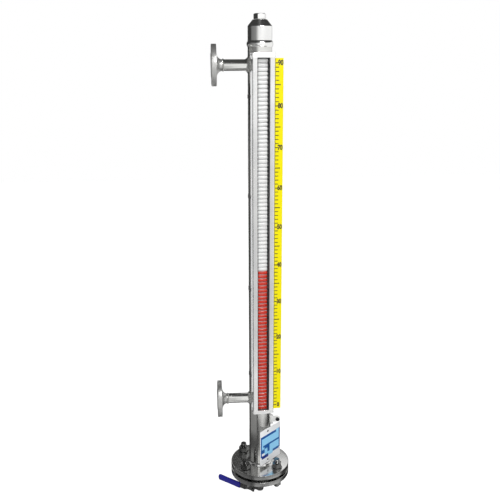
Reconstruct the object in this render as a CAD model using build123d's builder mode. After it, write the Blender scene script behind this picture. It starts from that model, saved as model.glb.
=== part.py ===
"""Bypass magnetic level gauge with side process flanges, a flip roller indicator and a drain valve.

Frame: the origin is the centre of the lower process flange's raised face. The nozzles run along +X
to the upright chamber, +Z is up, and the indicator looks towards -Y, turned a little about the
chamber. All lengths are millimetres.
"""
from build123d import *
from math import cos, degrees, radians, sin, sqrt
import os

os.makedirs("parts", exist_ok=True)

# Chamber and process connections
chamber_reach = 120.0
nozzle_spacing = 900.0
tube_radius = 30.15
tube_wall = 2.9
seat_gap = 0.1
part_gap = 0.3

# Process flanges: 20A weld neck with raised face, four 15 mm holes on a 75 mm circle
process_radius = 50.0
process_thickness = 14.0
process_face_radius = 28.0
process_face_height = 1.0
process_edge = 1.0
process_pcd = 75.0
process_hole = 7.5
bolt_count = 4
hub_radius = 20.0
hub_length = 27.0
hub_flare = 9.0
hub_knuckle = 0.4
stub_radius = 13.6
stub_wall = 2.5
bead_height = 1.8
bead_width = 5.0
saddle_radius = 19.5
saddle_length = 7.0
saddle_toe_length = 4.9
saddle_toe_rise = 1.8
saddle_run = 10.5
saddle_depth = 12.0

# Bottom flange pair: 50A plate flange and blind flange, four 18 mm holes on a 125 mm circle
chamber_drop = 200.0
base_radius = 82.5
base_rim = 13.0
base_face_radius = 49.5
base_face_height = 3.0
base_pcd = 125.0
base_hole = 9.0
base_chamfer = 1.5
base_weld = 6.0
gasket_thickness = 2.5

# Studs, nuts and washers of the bottom flange
stud_radius = 8.0
nut_across_flats = 24.0
nut_height = 14.8
washer_radius = 15.0
washer_thickness = 3.0
stud_end_above = 11.0
stud_end_below = 6.0
stud_chamfer = 1.5
thread_gap = 0.3

# Top cap and vent plug
cap_rise = 42.0
cap_rim_height = 15.0
cap_rim_radius = 32.2
cap_socket_depth = 8.0
cap_skirt = 48.0
cap_height = 63.0
cap_shoulder_radius = 26.5
cap_boss_radius = 17.6
cap_wall = 3.5
cap_rim_lip = 1.0
cap_rim_curve = 4.5
cap_rim_side = 9.0
cap_shoulder_rise = 4.2
vent_bore = 9.7
plug_across_flats = 27.0
plug_height = 12.5
plug_shank = 12.0
plug_chamfer = 1.6
seal_thickness = 1.5
seal_radius = 14.6

# Float and its stops
float_radius = 25.0
float_wall = 1.0
float_below_magnet = 135.0
float_above_magnet = 65.0
float_dome = 7.5
magnet_height = 24.0
magnet_bore = 15.0
magnet_ledge = 2.0
stop_radius = 16.85
stop_wall = 2.3
stop_hole = 4.0

# Indicator: polished channel on a rail, with a column of flip rollers
indicator_turn = 5.0
scale_zero = 5.0
roller_pitch = 10.0
rollers_past_nozzles = 1
roller_radius = 4.75
roller_sides = 12
roller_length = 21.0
roller_out = 39.9
pin_radius = 0.9
pin_length = 1.8
pin_clearance = 0.06
free_roller_first = 32
free_roller_count = 13
housing_width = 54.0
housing_front = 58.0
housing_sheet = 1.5
housing_back = 22.0
housing_bend = 2.5
housing_bottom = -18.0
housing_above = 27.0
window_width = 29.0
window_bottom = -10.0
window_above = 17.0
window_corner = 1.5
glass_width = 38.0
glass_thickness = 3.0
glass_margin = 6.0
rail_sheet = 1.5
rail_depth = 20.0
comb_half = 14.5
comb_back = 33.2
comb_web = 1.4
comb_front = 44.0
comb_margin = 2.0

# End caps of the indicator and their screws
end_cap_sheet = 1.2
bottom_cap_skirt = 6.5
top_cap_skirt = 11.0
cap_screw_radius = 1.5
cap_screw_head = 2.5
cap_screw_head_height = 1.6
cap_screw_out = 46.0
cap_screw_inset = 3.0

# Worm drive clamps that hold the rail to the chamber
clamp_count = 4
clamp_inset = 75.0
band_width = 9.0
band_thickness = 0.7
band_inset = 5.4
slot_margin = 1.0
lock_width = 15.0
lock_height = 12.0
lock_depth = 9.0
lock_shell = 1.2
worm_radius = 3.3
worm_length = 19.0
worm_head = 7.0
worm_head_height = 4.0

# Scale strip and its rivets
scale_width = 20.2
scale_leg = 14.0
scale_sheet = 1.0
scale_bottom = -6.0
scale_above = 16.0
scale_rivet_radius = 1.6
scale_rivet_head = 3.0
scale_rivet_head_height = 1.2
scale_rivet_out = 52.6
scale_rivet_count = 5
scale_rivet_inset = 60.0

# Nameplate on its bracket
nameplate_turn = 43.0
nameplate_middle = -136.0
nameplate_width = 85.0
nameplate_height = 108.0
nameplate_sheet = 1.0
nameplate_back = 34.0
nameplate_shift = 5.5
nameplate_corner = 2.5
bracket_width = 14.0
bracket_height = 102.0
bracket_shift = -5.0
name_rivet_radius = 1.6
name_rivet_head = 3.2
name_rivet_head_height = 1.3
name_rivet_spacing = 91.0
name_rivet_depth = 2.5

# Earthing lug
lug_middle = -70.0
lug_thickness = 4.0
lug_height = 17.0
lug_pad_depth = 7.0
lug_pad_width = 11.0
lug_pad_height = 26.0
lug_bolt_reach = 50.0
lug_tab_start = 2.0
lug_bolt_radius = 3.0
lug_bolt_head = 10.0
lug_bolt_head_height = 4.0
lug_bolt_end = 4.0

# Drain valve
valve_middle = -277.0
valve_turn = 232.0
nipple_radius = 6.85
nipple_bore = 4.6
nipple_engagement = 9.0
socket_depth = 9.0
valve_top = 22.0
valve_bottom = 22.0
valve_barrel = 12.0
valve_hex = 22.0
end_hex = 19.0
ball_radius = 8.2
ball_bore = 5.0
cavity_radius = 8.9
cavity_half = 8.8
seat_bore = 5.2
seat_height = 3.6
outlet_radius = 6.6
outlet_depth = 8.0
stem_radius = 3.0
stem_clearance = 0.06
stem_tang = 2.2
stem_tang_width = 5.2
pad_radius = 9.5
pad_top = 24.5
pad_thickness = 3.0
packing_radius = 4.4
packing_height = 4.0
boss_wall = 2.4
gland_hex = 9.6
gland_height = 6.0
lever_out = 35.5
lever_thickness = 3.0
lever_square = 4.2
lever_hub = 8.5
lever_neck = 14.0
lever_grip = 13.0
lever_length = 114.0
bend_start = 14.0
bend_end = 26.0
bend_rise = 6.0
bend_shift = 0.7
sleeve_start = 40.0
sleeve_end = 118.0
sleeve_height = 18.4
sleeve_depth = 8.4
sleeve_corner = 6.4
sleeve_chamfer = 2.1
stop_pin_radius = 1.2
stop_pin_circle = 7.0
stop_angle = 225.0
lever_swing = 90.0
notch_margin = 2.0
lever_nut_hex = 7.0
lever_nut_height = 4.0
lever_stud_radius = 2.0
lever_stud_length = 5.5

# Heights that follow from the sizes above
tube_bore = tube_radius - tube_wall
stub_bore = stub_radius - stub_wall
base_top = -chamber_drop
base_seal = base_top - base_rim - base_face_height
blind_seal = base_seal - gasket_thickness
blind_bottom = blind_seal - base_face_height - base_rim
chamber_axis = Axis((chamber_reach, 0, 0), (0, 0, 1))
cap_base = nozzle_spacing + cap_rise
cap_skirt_top = cap_base + cap_skirt
cap_top = cap_base + cap_height
housing_top = nozzle_spacing + housing_above
window_top = nozzle_spacing + window_above
scale_top = nozzle_spacing + scale_above
first_roller = -rollers_past_nozzles
last_roller = int(nozzle_spacing / roller_pitch) + rollers_past_nozzles
magnet_rest = scale_zero
float_travel = nozzle_spacing
float_bottom = magnet_rest - float_below_magnet
float_top = magnet_rest + float_above_magnet
level_heights = (0.0, nozzle_spacing)
cap_screw_heights = (housing_bottom + cap_screw_inset, housing_top - cap_screw_inset)


def across(height=0.0):
    """Level plane through the chamber axis, x along the nozzles."""
    return Plane(origin=(chamber_reach, 0, height), x_dir=(1, 0, 0), z_dir=(0, 0, 1))


def upright():
    """Upright plane through the chamber axis for turned profiles: x is the radius and y the height."""
    return Plane(origin=(chamber_reach, 0, 0), x_dir=(1, 0, 0), z_dir=(0, -1, 0))


def facing(height=0.0):
    """Level plane of the indicator: x runs to the observer's left and y outwards from the chamber."""
    turn = radians(indicator_turn)
    return Plane(origin=(chamber_reach, 0, height), x_dir=(-cos(turn), -sin(turn), 0), z_dir=(0, 0, 1))


def sideways(out, height):
    """Upright plane along the indicator's side, at a distance out: x is up and z to the left."""
    plane = facing(height)
    corner = plane.from_local_coords(Vector(0, out, 0))
    return Plane(origin=corner, x_dir=(0, 0, 1), z_dir=plane.x_dir)


def front(out):
    """Upright plane across the indicator's front at a distance out, x to the right and y up."""
    turn = radians(indicator_turn)
    normal = Vector(sin(turn), -cos(turn), 0)
    foot = Vector(chamber_reach, 0, 0) + normal * out
    return Plane(origin=foot, x_dir=(cos(turn), sin(turn), 0), z_dir=normal)


def tangent(distance):
    """Upright plane that touches the chamber on the nameplate's side, x level and y up."""
    turn = radians(nameplate_turn)
    out = Vector(sin(turn), -cos(turn), 0)
    foot = Vector(chamber_reach, 0, nameplate_middle) + out * distance
    return Plane(origin=foot, x_dir=(cos(turn), sin(turn), 0), z_dir=out)


def stem_plane(out=0.0):
    """Plane across the valve's stem at a distance out: x along the closed lever and y down."""
    turn = radians(valve_turn)
    stem = Vector(cos(turn), sin(turn), 0)
    foot = Vector(chamber_reach, 0, valve_middle) + stem * out
    return Plane(origin=foot, x_dir=(sin(turn), -cos(turn), 0), z_dir=stem)


def lever_side():
    """Level plane through the valve's middle: x along the closed lever and y outwards along the stem."""
    return Plane(origin=(chamber_reach, 0, valve_middle), x_dir=stem_plane().x_dir, z_dir=(0, 0, 1))


def spaced(first, last, count):
    """Evenly spaced heights from the first to the last."""
    return [first + (last - first) * index / (count - 1) for index in range(count)]


def hexagon_radius(across_flats):
    """Corner radius of a hexagon from its width across flats."""
    return across_flats / sqrt(3)


def keep(piece, name):
    """Label a finished piece and write it to its own file."""
    piece.label = name
    export_step(piece, "parts/" + name + ".step")


# Chamber: a plain tube with a side hole at each nozzle
tube_bottom = base_seal + base_face_height + seat_gap
tube_top = cap_base + cap_socket_depth - part_gap
with BuildPart() as chamber_tube:
    with BuildSketch(across(tube_bottom)):
        Circle(tube_radius)
        Circle(tube_bore, mode=Mode.SUBTRACT)
    extrude(amount=tube_top - tube_bottom)
    for level in level_heights:
        with BuildSketch(Plane(origin=(0, 0, level), x_dir=(0, 1, 0), z_dir=(1, 0, 0))):
            Circle(stub_bore)
        extrude(amount=chamber_reach, mode=Mode.SUBTRACT)
keep(chamber_tube.part, "chamber_tube")

# Top cap: a turned cap with a rounded rim, a sloping shoulder and the threaded vent hole
cap_rim_top = cap_base + cap_rim_height
with BuildPart() as top_cap:
    with BuildSketch(upright()):
        socket = tube_radius + seat_gap
        Polygon(
            (vent_bore, cap_top),
            (vent_bore, cap_skirt_top - cap_wall),
            (tube_bore - cap_wall, cap_skirt_top - cap_wall),
            (tube_bore, cap_skirt_top - 2 * cap_wall),
            (tube_bore, cap_base + cap_socket_depth),
            (socket, cap_base + cap_socket_depth),
            (socket, cap_base),
            (socket + cap_rim_lip, cap_base),
            (cap_rim_radius, cap_base + cap_rim_curve),
            (cap_rim_radius, cap_base + cap_rim_side),
            (tube_radius, cap_rim_top),
            (tube_radius, cap_skirt_top),
            (cap_shoulder_radius, cap_skirt_top + cap_shoulder_rise),
            (cap_boss_radius, cap_top),
            align=None,
        )
    revolve(axis=chamber_axis)
keep(top_cap.part, "top_cap")

# Vent seal: a flat ring under the plug's head
with BuildPart() as vent_seal:
    with BuildSketch(across(cap_top)):
        Circle(seal_radius)
        Circle(vent_bore, mode=Mode.SUBTRACT)
    extrude(amount=seal_thickness)
keep(vent_seal.part, "vent_seal")

# Vent plug: a hexagon head with a chamfered top on a threaded shank
plug_seat = cap_top + seal_thickness
with BuildPart() as vent_plug:
    with BuildSketch(across(plug_seat)):
        RegularPolygon(hexagon_radius(plug_across_flats), 6, rotation=8)
    extrude(amount=plug_height)
    with BuildSketch(upright()):
        corner = hexagon_radius(plug_across_flats)
        with BuildLine():
            Polyline(
                (0, plug_seat),
                (corner, plug_seat),
                (corner, plug_seat + plug_height - plug_chamfer),
                (corner - 2 * plug_chamfer, plug_seat + plug_height),
                (0, plug_seat + plug_height),
                close=True,
            )
        make_face()
    revolve(axis=chamber_axis, mode=Mode.INTERSECT)
    with BuildSketch(across(plug_seat - plug_shank)):
        Circle(vent_bore - seat_gap)
    extrude(amount=plug_shank)
keep(vent_plug.part, "vent_plug")


# Weld neck process flange: bore, raised face, rim, flared hub and bolt holes
def process_flange(level):
    """Turn the flange about its nozzle's axis and drill its bolt circle."""
    profile = Plane(origin=(0, 0, level), x_dir=(1, 0, 0), z_dir=(0, -1, 0))
    knuckle = stub_radius + (hub_radius - stub_radius) * hub_knuckle
    with BuildPart() as flange:
        with BuildSketch(profile):
            Polygon(
                (0, stub_bore),
                (0, process_face_radius),
                (process_face_height, process_face_radius),
                (process_face_height, process_radius - process_edge),
                (process_face_height + process_edge, process_radius),
                (process_thickness - process_edge, process_radius),
                (process_thickness, process_radius - process_edge),
                (process_thickness, hub_radius),
                (process_thickness + hub_flare * hub_knuckle, knuckle),
                (process_thickness + hub_flare, stub_radius),
                (hub_length, stub_radius),
                (hub_length, stub_bore),
                align=None,
            )
        revolve(axis=Axis((0, 0, level), (1, 0, 0)))
        with BuildSketch(Plane(origin=(0, 0, level), x_dir=(0, 1, 0), z_dir=(1, 0, 0))):
            with PolarLocations(process_pcd / 2, bolt_count, start_angle=180 / bolt_count):
                Circle(process_hole)
        extrude(amount=process_thickness, mode=Mode.SUBTRACT)
    return flange.part


# Nozzle: a stub tube with the butt weld's bead at the flange and a flared weld at the chamber
def nozzle(level):
    """Turn the stub with its weld beads and cut its end to the chamber's curve."""
    profile = Plane(origin=(0, 0, level), x_dir=(1, 0, 0), z_dir=(0, -1, 0))
    start = hub_length + seat_gap
    flare_start = chamber_reach - tube_radius - saddle_length
    inside = chamber_reach - tube_radius + saddle_depth
    with BuildPart() as stub:
        with BuildSketch(profile):
            Polygon(
                (start, stub_bore),
                (start, stub_radius),
                (start + bead_width * 0.25, stub_radius + bead_height),
                (start + bead_width * 0.75, stub_radius + bead_height),
                (start + bead_width, stub_radius),
                (flare_start, stub_radius),
                (flare_start + saddle_toe_length, stub_radius + saddle_toe_rise),
                (flare_start + saddle_run, saddle_radius),
                (inside, saddle_radius),
                (inside, stub_bore),
                align=None,
            )
        revolve(axis=Axis((0, 0, level), (1, 0, 0)))
        with BuildSketch(across(level - 2 * saddle_radius)):
            Circle(tube_radius + seat_gap)
        extrude(amount=4 * saddle_radius, mode=Mode.SUBTRACT)
    return stub.part


for side, level in zip(("lower", "upper"), level_heights):
    keep(process_flange(level), side + "_process_flange")
    keep(nozzle(level), side + "_nozzle")

# Bottom flange: a plate flange slipped over the tube, with its fillet weld on top
with BuildPart() as bottom_flange:
    with BuildSketch(upright()):
        slip = tube_radius + seat_gap
        rim_bottom = base_top - base_rim
        Polygon(
            (slip, base_seal + base_face_height),
            (slip, base_top + base_weld),
            (slip + base_weld, base_top),
            (base_radius - base_chamfer, base_top),
            (base_radius, base_top - base_chamfer),
            (base_radius, rim_bottom + base_chamfer),
            (base_radius - base_chamfer, rim_bottom),
            (base_face_radius, rim_bottom),
            (base_face_radius, base_seal),
            (tube_bore, base_seal),
            (tube_bore, base_seal + base_face_height),
            align=None,
        )
    revolve(axis=chamber_axis)
    with BuildSketch(across(base_top)):
        with PolarLocations(base_pcd / 2, bolt_count, start_angle=180 / bolt_count):
            Circle(base_hole)
    extrude(amount=-base_rim, mode=Mode.SUBTRACT)
keep(bottom_flange.part, "bottom_flange")

# Gasket between the raised faces
with BuildPart() as flange_gasket:
    with BuildSketch(across(blind_seal)):
        Circle(base_face_radius)
        Circle(tube_bore, mode=Mode.SUBTRACT)
    extrude(amount=gasket_thickness)
keep(flange_gasket.part, "flange_gasket")

# Blind flange: closes the chamber and takes the drain nipple in its centre
nipple_hole = nipple_radius + seat_gap
with BuildPart() as blind_flange:
    with BuildSketch(upright()):
        blind_top = blind_seal - base_face_height
        Polygon(
            (nipple_bore, blind_seal),
            (base_face_radius, blind_seal),
            (base_face_radius, blind_top),
            (base_radius - base_chamfer, blind_top),
            (base_radius, blind_top - base_chamfer),
            (base_radius, blind_bottom + base_chamfer),
            (base_radius - base_chamfer, blind_bottom),
            (nipple_hole, blind_bottom),
            (nipple_hole, blind_bottom + nipple_engagement),
            (nipple_bore, blind_bottom + nipple_engagement),
            align=None,
        )
    revolve(axis=chamber_axis)
    with BuildSketch(across(blind_seal - base_face_height)):
        with PolarLocations(base_pcd / 2, bolt_count, start_angle=180 / bolt_count):
            Circle(base_hole)
    extrude(amount=-base_rim, mode=Mode.SUBTRACT)
keep(blind_flange.part, "blind_flange")

# Studs, nuts and washers of the bottom flange pair
stud_top = base_top + washer_thickness + nut_height + stud_end_above
stud_bottom = blind_bottom - washer_thickness - nut_height - stud_end_below
with BuildPart() as flange_studs:
    with BuildSketch(across(stud_bottom)):
        with PolarLocations(base_pcd / 2, bolt_count, start_angle=180 / bolt_count):
            Circle(stud_radius)
    extrude(amount=stud_top - stud_bottom)
    stud_ends = flange_studs.edges().group_by(Axis.Z)
    chamfer(stud_ends[0] + stud_ends[-1], stud_chamfer)
keep(flange_studs.part, "flange_studs")

with BuildPart() as flange_washers:
    for seat in (base_top, blind_bottom - washer_thickness):
        with BuildSketch(across(seat)):
            with PolarLocations(base_pcd / 2, bolt_count, start_angle=180 / bolt_count):
                Circle(washer_radius)
                Circle(stud_radius + thread_gap, mode=Mode.SUBTRACT)
        extrude(amount=washer_thickness)
keep(flange_washers.part, "flange_washers")

with BuildPart() as flange_nuts:
    for seat in (base_top + washer_thickness, blind_bottom - washer_thickness - nut_height):
        with BuildSketch(across(seat)):
            with PolarLocations(base_pcd / 2, bolt_count, start_angle=180 / bolt_count):
                RegularPolygon(hexagon_radius(nut_across_flats), 6)
                Circle(stud_radius + thread_gap, mode=Mode.SUBTRACT)
        extrude(amount=nut_height)
keep(flange_nuts.part, "flange_nuts")


# Float: two drawn shells that meet at the magnet, and the ring magnet inside them
def float_shell(end_height):
    """Turn one shell: a domed end, a straight side and an inner ledge that carries the magnet."""
    outward = 1 if end_height > magnet_rest else -1
    inner = float_radius - float_wall
    shelf = magnet_rest + outward * magnet_height / 2

    def dome(radius, height):
        """Corner points of a dome that ends at a radius and a height, from its flat to its side."""
        flat = radius - float_dome
        knuckle = float_dome * (1 - cos(radians(45)))
        return [
            (flat, height),
            (radius - knuckle, height - outward * knuckle),
            (radius, height - outward * float_dome),
        ]

    outside = dome(float_radius, end_height)
    inside = dome(inner, end_height - outward * float_wall)
    ledge = [
        (inner, shelf + outward * magnet_ledge),
        (inner - magnet_ledge, shelf),
        (inner, shelf),
    ]
    with BuildPart() as shell:
        with BuildSketch(upright()):
            Polygon(
                (0, end_height),
                *outside,
                (float_radius, magnet_rest),
                (inner, magnet_rest),
                *reversed(ledge),
                *reversed(inside),
                (0, end_height - outward * float_wall),
                align=None,
            )
        revolve(axis=chamber_axis)
    return shell.part


keep(float_shell(float_bottom), "float_lower_shell")
keep(float_shell(float_top), "float_upper_shell")

with BuildPart() as float_magnet:
    with BuildSketch(across(magnet_rest - magnet_height / 2 + seat_gap)):
        Circle(float_radius - float_wall - seat_gap)
        Circle(magnet_bore, mode=Mode.SUBTRACT)
    extrude(amount=magnet_height - 2 * seat_gap)
keep(float_magnet.part, "float_magnet")


# Stop tubes: they catch the float at the ends of its travel, and drain through cross holes
def stop_tube(bottom, top, hole_height):
    """Short tube between two heights with a pair of cross holes near its fixed end."""
    with BuildPart() as tube:
        with BuildSketch(across(bottom)):
            Circle(stop_radius)
            Circle(stop_radius - stop_wall, mode=Mode.SUBTRACT)
        extrude(amount=top - bottom)
        for direction in ((1, 0, 0), (0, 1, 0)):
            cross = Plane(origin=(chamber_reach, 0, hole_height), x_dir=(0, 0, 1), z_dir=direction)
            with BuildSketch(cross):
                Circle(stop_hole)
            extrude(amount=stop_radius, both=True, mode=Mode.SUBTRACT)
    return tube.part


ceiling = cap_skirt_top - cap_wall
keep(stop_tube(blind_seal, float_bottom - part_gap, blind_seal + 2 * stop_hole), "lower_stop_tube")
keep(stop_tube(float_top + float_travel + part_gap, ceiling, ceiling - 2 * stop_hole), "upper_stop_tube")

# Indicator rail: a channel along the chamber, slotted for the clamps
housing_inside = housing_width / 2 - housing_sheet
rail_half = housing_inside - part_gap
rail_back = tube_radius + part_gap
rail_web_front = rail_back + rail_sheet
rail_front = rail_back + rail_depth
band_corner = rail_half - band_inset
slot_inner = band_corner - band_thickness
slot_outer = rail_half - rail_sheet - part_gap
clamp_heights = spaced(clamp_inset, nozzle_spacing - clamp_inset, clamp_count)
with BuildPart() as indicator_rail:
    with BuildSketch(facing(housing_bottom)):
        with Locations((0, (rail_back + rail_front) / 2)):
            Rectangle(2 * rail_half, rail_depth)
        with Locations((0, (rail_web_front + rail_front) / 2)):
            inside = 2 * (rail_half - rail_sheet)
            Rectangle(inside, rail_front - rail_web_front, mode=Mode.SUBTRACT)
    extrude(amount=housing_top - housing_bottom)
    for clamp_height in clamp_heights:
        with BuildSketch(facing(clamp_height - band_width / 2 - slot_margin)):
            for side in (-1, 1):
                with Locations((side * (slot_inner + slot_outer) / 2, (rail_back + rail_web_front) / 2)):
                    Rectangle(slot_outer - slot_inner, 2 * rail_sheet)
        extrude(amount=band_width + 2 * slot_margin, mode=Mode.SUBTRACT)
    with BuildSketch(sideways(cap_screw_out, 0)):
        with Locations(*[(height, 0) for height in cap_screw_heights]):
            Circle(cap_screw_radius + seat_gap)
    extrude(amount=housing_width, both=True, mode=Mode.SUBTRACT)
keep(indicator_rail.part, "indicator_rail")

# Roller carrier: a dark comb that holds the rollers. The rollers well away from the level share
# its solid; the ones around the level are pieces of their own and turn in it
roller_heights = [index * roller_pitch for index in range(first_roller, last_roller + 1)]
free_rollers = range(free_roller_first, free_roller_first + free_roller_count)
free_heights = [index * roller_pitch for index in free_rollers]
held_heights = [height for height in roller_heights if height not in free_heights]
comb_bottom = roller_heights[0] - roller_pitch / 2 - comb_margin
comb_top = roller_heights[-1] + roller_pitch / 2 + comb_margin
comb_inside = roller_length / 2 + part_gap
with BuildPart() as roller_carrier:
    with BuildSketch(facing(comb_bottom)):
        with Locations((0, (comb_back + comb_front) / 2)):
            Rectangle(2 * comb_half, comb_front - comb_back)
        with Locations((0, comb_back + comb_web + comb_front / 2)):
            Rectangle(2 * comb_inside, comb_front, mode=Mode.SUBTRACT)
    extrude(amount=comb_top - comb_bottom)
    with BuildSketch(sideways(roller_out, 0)):
        with Locations(*[(height, 0) for height in free_heights]):
            RegularPolygon(pin_radius + pin_clearance, roller_sides, major_radius=False)
    extrude(amount=comb_half, both=True, mode=Mode.SUBTRACT)
    with BuildSketch(sideways(roller_out, 0)):
        with Locations(*[(height, 0) for height in held_heights]):
            RegularPolygon(roller_radius, roller_sides)
    extrude(amount=comb_inside, both=True)
keep(roller_carrier.part, "roller_carrier")


# Rollers around the level: each turns half a turn on its own pins as the float's magnet passes
def roller(height):
    """One two-colour roller with a pin at each end."""
    with BuildPart() as piece:
        with BuildSketch(sideways(roller_out, height)):
            RegularPolygon(roller_radius, roller_sides)
        extrude(amount=roller_length / 2, both=True)
        with BuildSketch(sideways(roller_out, height)):
            RegularPolygon(pin_radius, roller_sides)
        extrude(amount=roller_length / 2 + pin_length, both=True)
    return piece.part


for index in free_rollers:
    keep(roller(index * roller_pitch), f"roller_{index}")

# Housing: a polished channel over the rail, with the viewing window in its front
housing_depth = housing_front - housing_back
scale_rivet_heights = spaced(scale_rivet_inset, nozzle_spacing - scale_rivet_inset, scale_rivet_count)
with BuildPart() as indicator_housing:
    with BuildSketch(facing(housing_bottom)) as channel:
        with Locations((0, housing_front - housing_depth / 2)):
            Rectangle(housing_width, housing_depth)
        fillet(channel.vertices().group_by(Axis.Y)[-1], housing_bend)
        with Locations((0, housing_front - housing_sheet - housing_depth / 2)):
            Rectangle(2 * housing_inside, housing_depth, mode=Mode.SUBTRACT)
    extrude(amount=housing_top - housing_bottom)
    with BuildSketch(front(housing_front)):
        with Locations((0, (window_bottom + window_top) / 2)):
            RectangleRounded(window_width, window_top - window_bottom, window_corner)
    extrude(amount=-2 * housing_sheet, mode=Mode.SUBTRACT)
    with BuildSketch(sideways(cap_screw_out, 0)):
        with Locations(*[(height, 0) for height in cap_screw_heights]):
            Circle(cap_screw_radius + seat_gap)
    extrude(amount=housing_width, both=True, mode=Mode.SUBTRACT)
    with BuildSketch(sideways(scale_rivet_out, 0)):
        with Locations(*[(height, 0) for height in scale_rivet_heights]):
            Circle(scale_rivet_radius + seat_gap)
    extrude(amount=-housing_width, mode=Mode.SUBTRACT)
keep(indicator_housing.part, "indicator_housing")

# Glass: a flat pane behind the window
glass_front = housing_front - housing_sheet
with BuildPart() as indicator_glass:
    with BuildSketch(front(glass_front)):
        with Locations((0, (window_bottom + window_top) / 2)):
            Rectangle(glass_width, window_top - window_bottom + 2 * glass_margin)
    extrude(amount=-glass_thickness)
keep(indicator_glass.part, "indicator_glass")


# End caps: folded sheet lids over the two ends of the housing
def end_cap(end, outward, skirt):
    """Lid with a skirt on three sides, drilled for its screws."""
    depth = housing_front + seat_gap + end_cap_sheet - rail_back
    middle = rail_back + depth / 2
    with BuildPart() as cap:
        with BuildSketch(facing(end + outward * end_cap_sheet)) as outline:
            with Locations((0, middle)):
                Rectangle(housing_width + 2 * (seat_gap + end_cap_sheet), depth)
            fillet(outline.vertices().group_by(Axis.Y)[-1], housing_bend + end_cap_sheet)
        extrude(amount=-outward * skirt)
        with BuildSketch(facing(end)) as hollow:
            with Locations((0, middle - end_cap_sheet)):
                Rectangle(housing_width + 2 * seat_gap, depth)
            fillet(hollow.vertices().group_by(Axis.Y)[-1], housing_bend)
        extrude(amount=-outward * skirt, mode=Mode.SUBTRACT)
        with BuildSketch(sideways(cap_screw_out, end - outward * cap_screw_inset)):
            Circle(cap_screw_radius + seat_gap)
        extrude(amount=housing_width, both=True, mode=Mode.SUBTRACT)
    return cap.part


keep(end_cap(housing_bottom, -1, bottom_cap_skirt), "bottom_end_cap")
keep(end_cap(housing_top, 1, top_cap_skirt), "top_end_cap")

# Screws through the caps' skirts, the housing and the rail
skirt_face = housing_width / 2 + seat_gap + end_cap_sheet
with BuildPart() as end_cap_screws:
    for height in cap_screw_heights:
        for side in (-1, 1):
            with BuildSketch(sideways(cap_screw_out, height).offset(side * skirt_face)):
                Circle(cap_screw_head)
            extrude(amount=side * cap_screw_head_height)
            with BuildSketch(sideways(cap_screw_out, height).offset(side * skirt_face)):
                Circle(cap_screw_radius)
            extrude(amount=-side * (skirt_face - rail_half + 2 * rail_sheet))
keep(end_cap_screws.part, "end_cap_screws")

# Scale strip: an angle of yellow sheet, its leg on the housing's side and its face to the front
leg_side = housing_width / 2 + seat_gap
with BuildPart() as scale_plate:
    with BuildSketch(facing(scale_bottom)):
        with Locations((-leg_side - scale_sheet / 2, housing_front - scale_leg / 2)):
            Rectangle(scale_sheet, scale_leg)
        with Locations((-leg_side - scale_width / 2, housing_front - scale_sheet / 2)):
            Rectangle(scale_width, scale_sheet)
    extrude(amount=scale_top - scale_bottom)
    with BuildSketch(sideways(scale_rivet_out, 0)):
        with Locations(*[(height, 0) for height in scale_rivet_heights]):
            Circle(scale_rivet_radius + seat_gap)
    extrude(amount=-housing_width, mode=Mode.SUBTRACT)
keep(scale_plate.part, "scale_plate")

# Rivets through the scale's leg and the housing's side
with BuildPart() as scale_rivets:
    leg_face = sideways(scale_rivet_out, 0).offset(-leg_side - scale_sheet)
    with BuildSketch(leg_face):
        with Locations(*[(height, 0) for height in scale_rivet_heights]):
            Circle(scale_rivet_head)
    extrude(amount=-scale_rivet_head_height)
    with BuildSketch(leg_face):
        with Locations(*[(height, 0) for height in scale_rivet_heights]):
            Circle(scale_rivet_radius)
    extrude(amount=2 * scale_sheet + housing_sheet)
keep(scale_rivets.part, "scale_rivets")

# Clamp bands: steel strip around the chamber and through the rail's slots, closed by a worm lock
band_radius = tube_radius + seat_gap
lock_back = band_radius + lock_depth
worm_out = lock_back - worm_radius - lock_shell
with BuildPart() as clamp_bands:
    for clamp_height in clamp_heights:
        with BuildSketch(facing(clamp_height - band_width / 2)) as loop:
            Circle(band_radius)
            with Locations((0, rail_web_front / 2)):
                Rectangle(2 * band_corner, rail_web_front + 2 * seat_gap)
            make_hull(loop.edges())
            inner_loop = loop.sketch_local.face()
            offset(amount=band_thickness, kind=Kind.ARC)
            add(inner_loop, mode=Mode.SUBTRACT)
        extrude(amount=band_width)
        with BuildSketch(facing(clamp_height - lock_height / 2)):
            with Locations((0, -band_radius - lock_depth / 2)):
                Rectangle(lock_width, lock_depth)
        extrude(amount=lock_height)
        with BuildSketch(sideways(-worm_out, clamp_height)):
            Circle(worm_radius + seat_gap)
        extrude(amount=lock_width, both=True, mode=Mode.SUBTRACT)
keep(clamp_bands.part, "clamp_bands")

# Worm screws of the clamps, each with a hexagon head
with BuildPart() as clamp_screws:
    for clamp_height in clamp_heights:
        screw_plane = sideways(-worm_out, clamp_height)
        with BuildSketch(screw_plane.offset(-worm_length / 2)):
            Circle(worm_radius)
        extrude(amount=worm_length)
        with BuildSketch(screw_plane.offset(worm_length / 2)):
            RegularPolygon(hexagon_radius(worm_head), 6)
        extrude(amount=worm_head_height)
keep(clamp_screws.part, "clamp_screws")

# Nameplate bracket: a bar welded along the chamber, its back cut to the tube's curve
name_rivet_heights = (-name_rivet_spacing / 2, name_rivet_spacing / 2)
with BuildPart() as nameplate_bracket:
    with BuildSketch(tangent(nameplate_back)):
        with Locations((bracket_shift, 0)):
            Rectangle(bracket_width, bracket_height)
        with Locations(*[(bracket_shift, height) for height in name_rivet_heights]):
            Circle(name_rivet_radius + seat_gap, mode=Mode.SUBTRACT)
    extrude(amount=-bracket_width / 2)
    with BuildSketch(across(nameplate_middle - bracket_height)):
        Circle(tube_radius + seat_gap)
    extrude(amount=2 * bracket_height, mode=Mode.SUBTRACT)
keep(nameplate_bracket.part, "nameplate_bracket")

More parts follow.
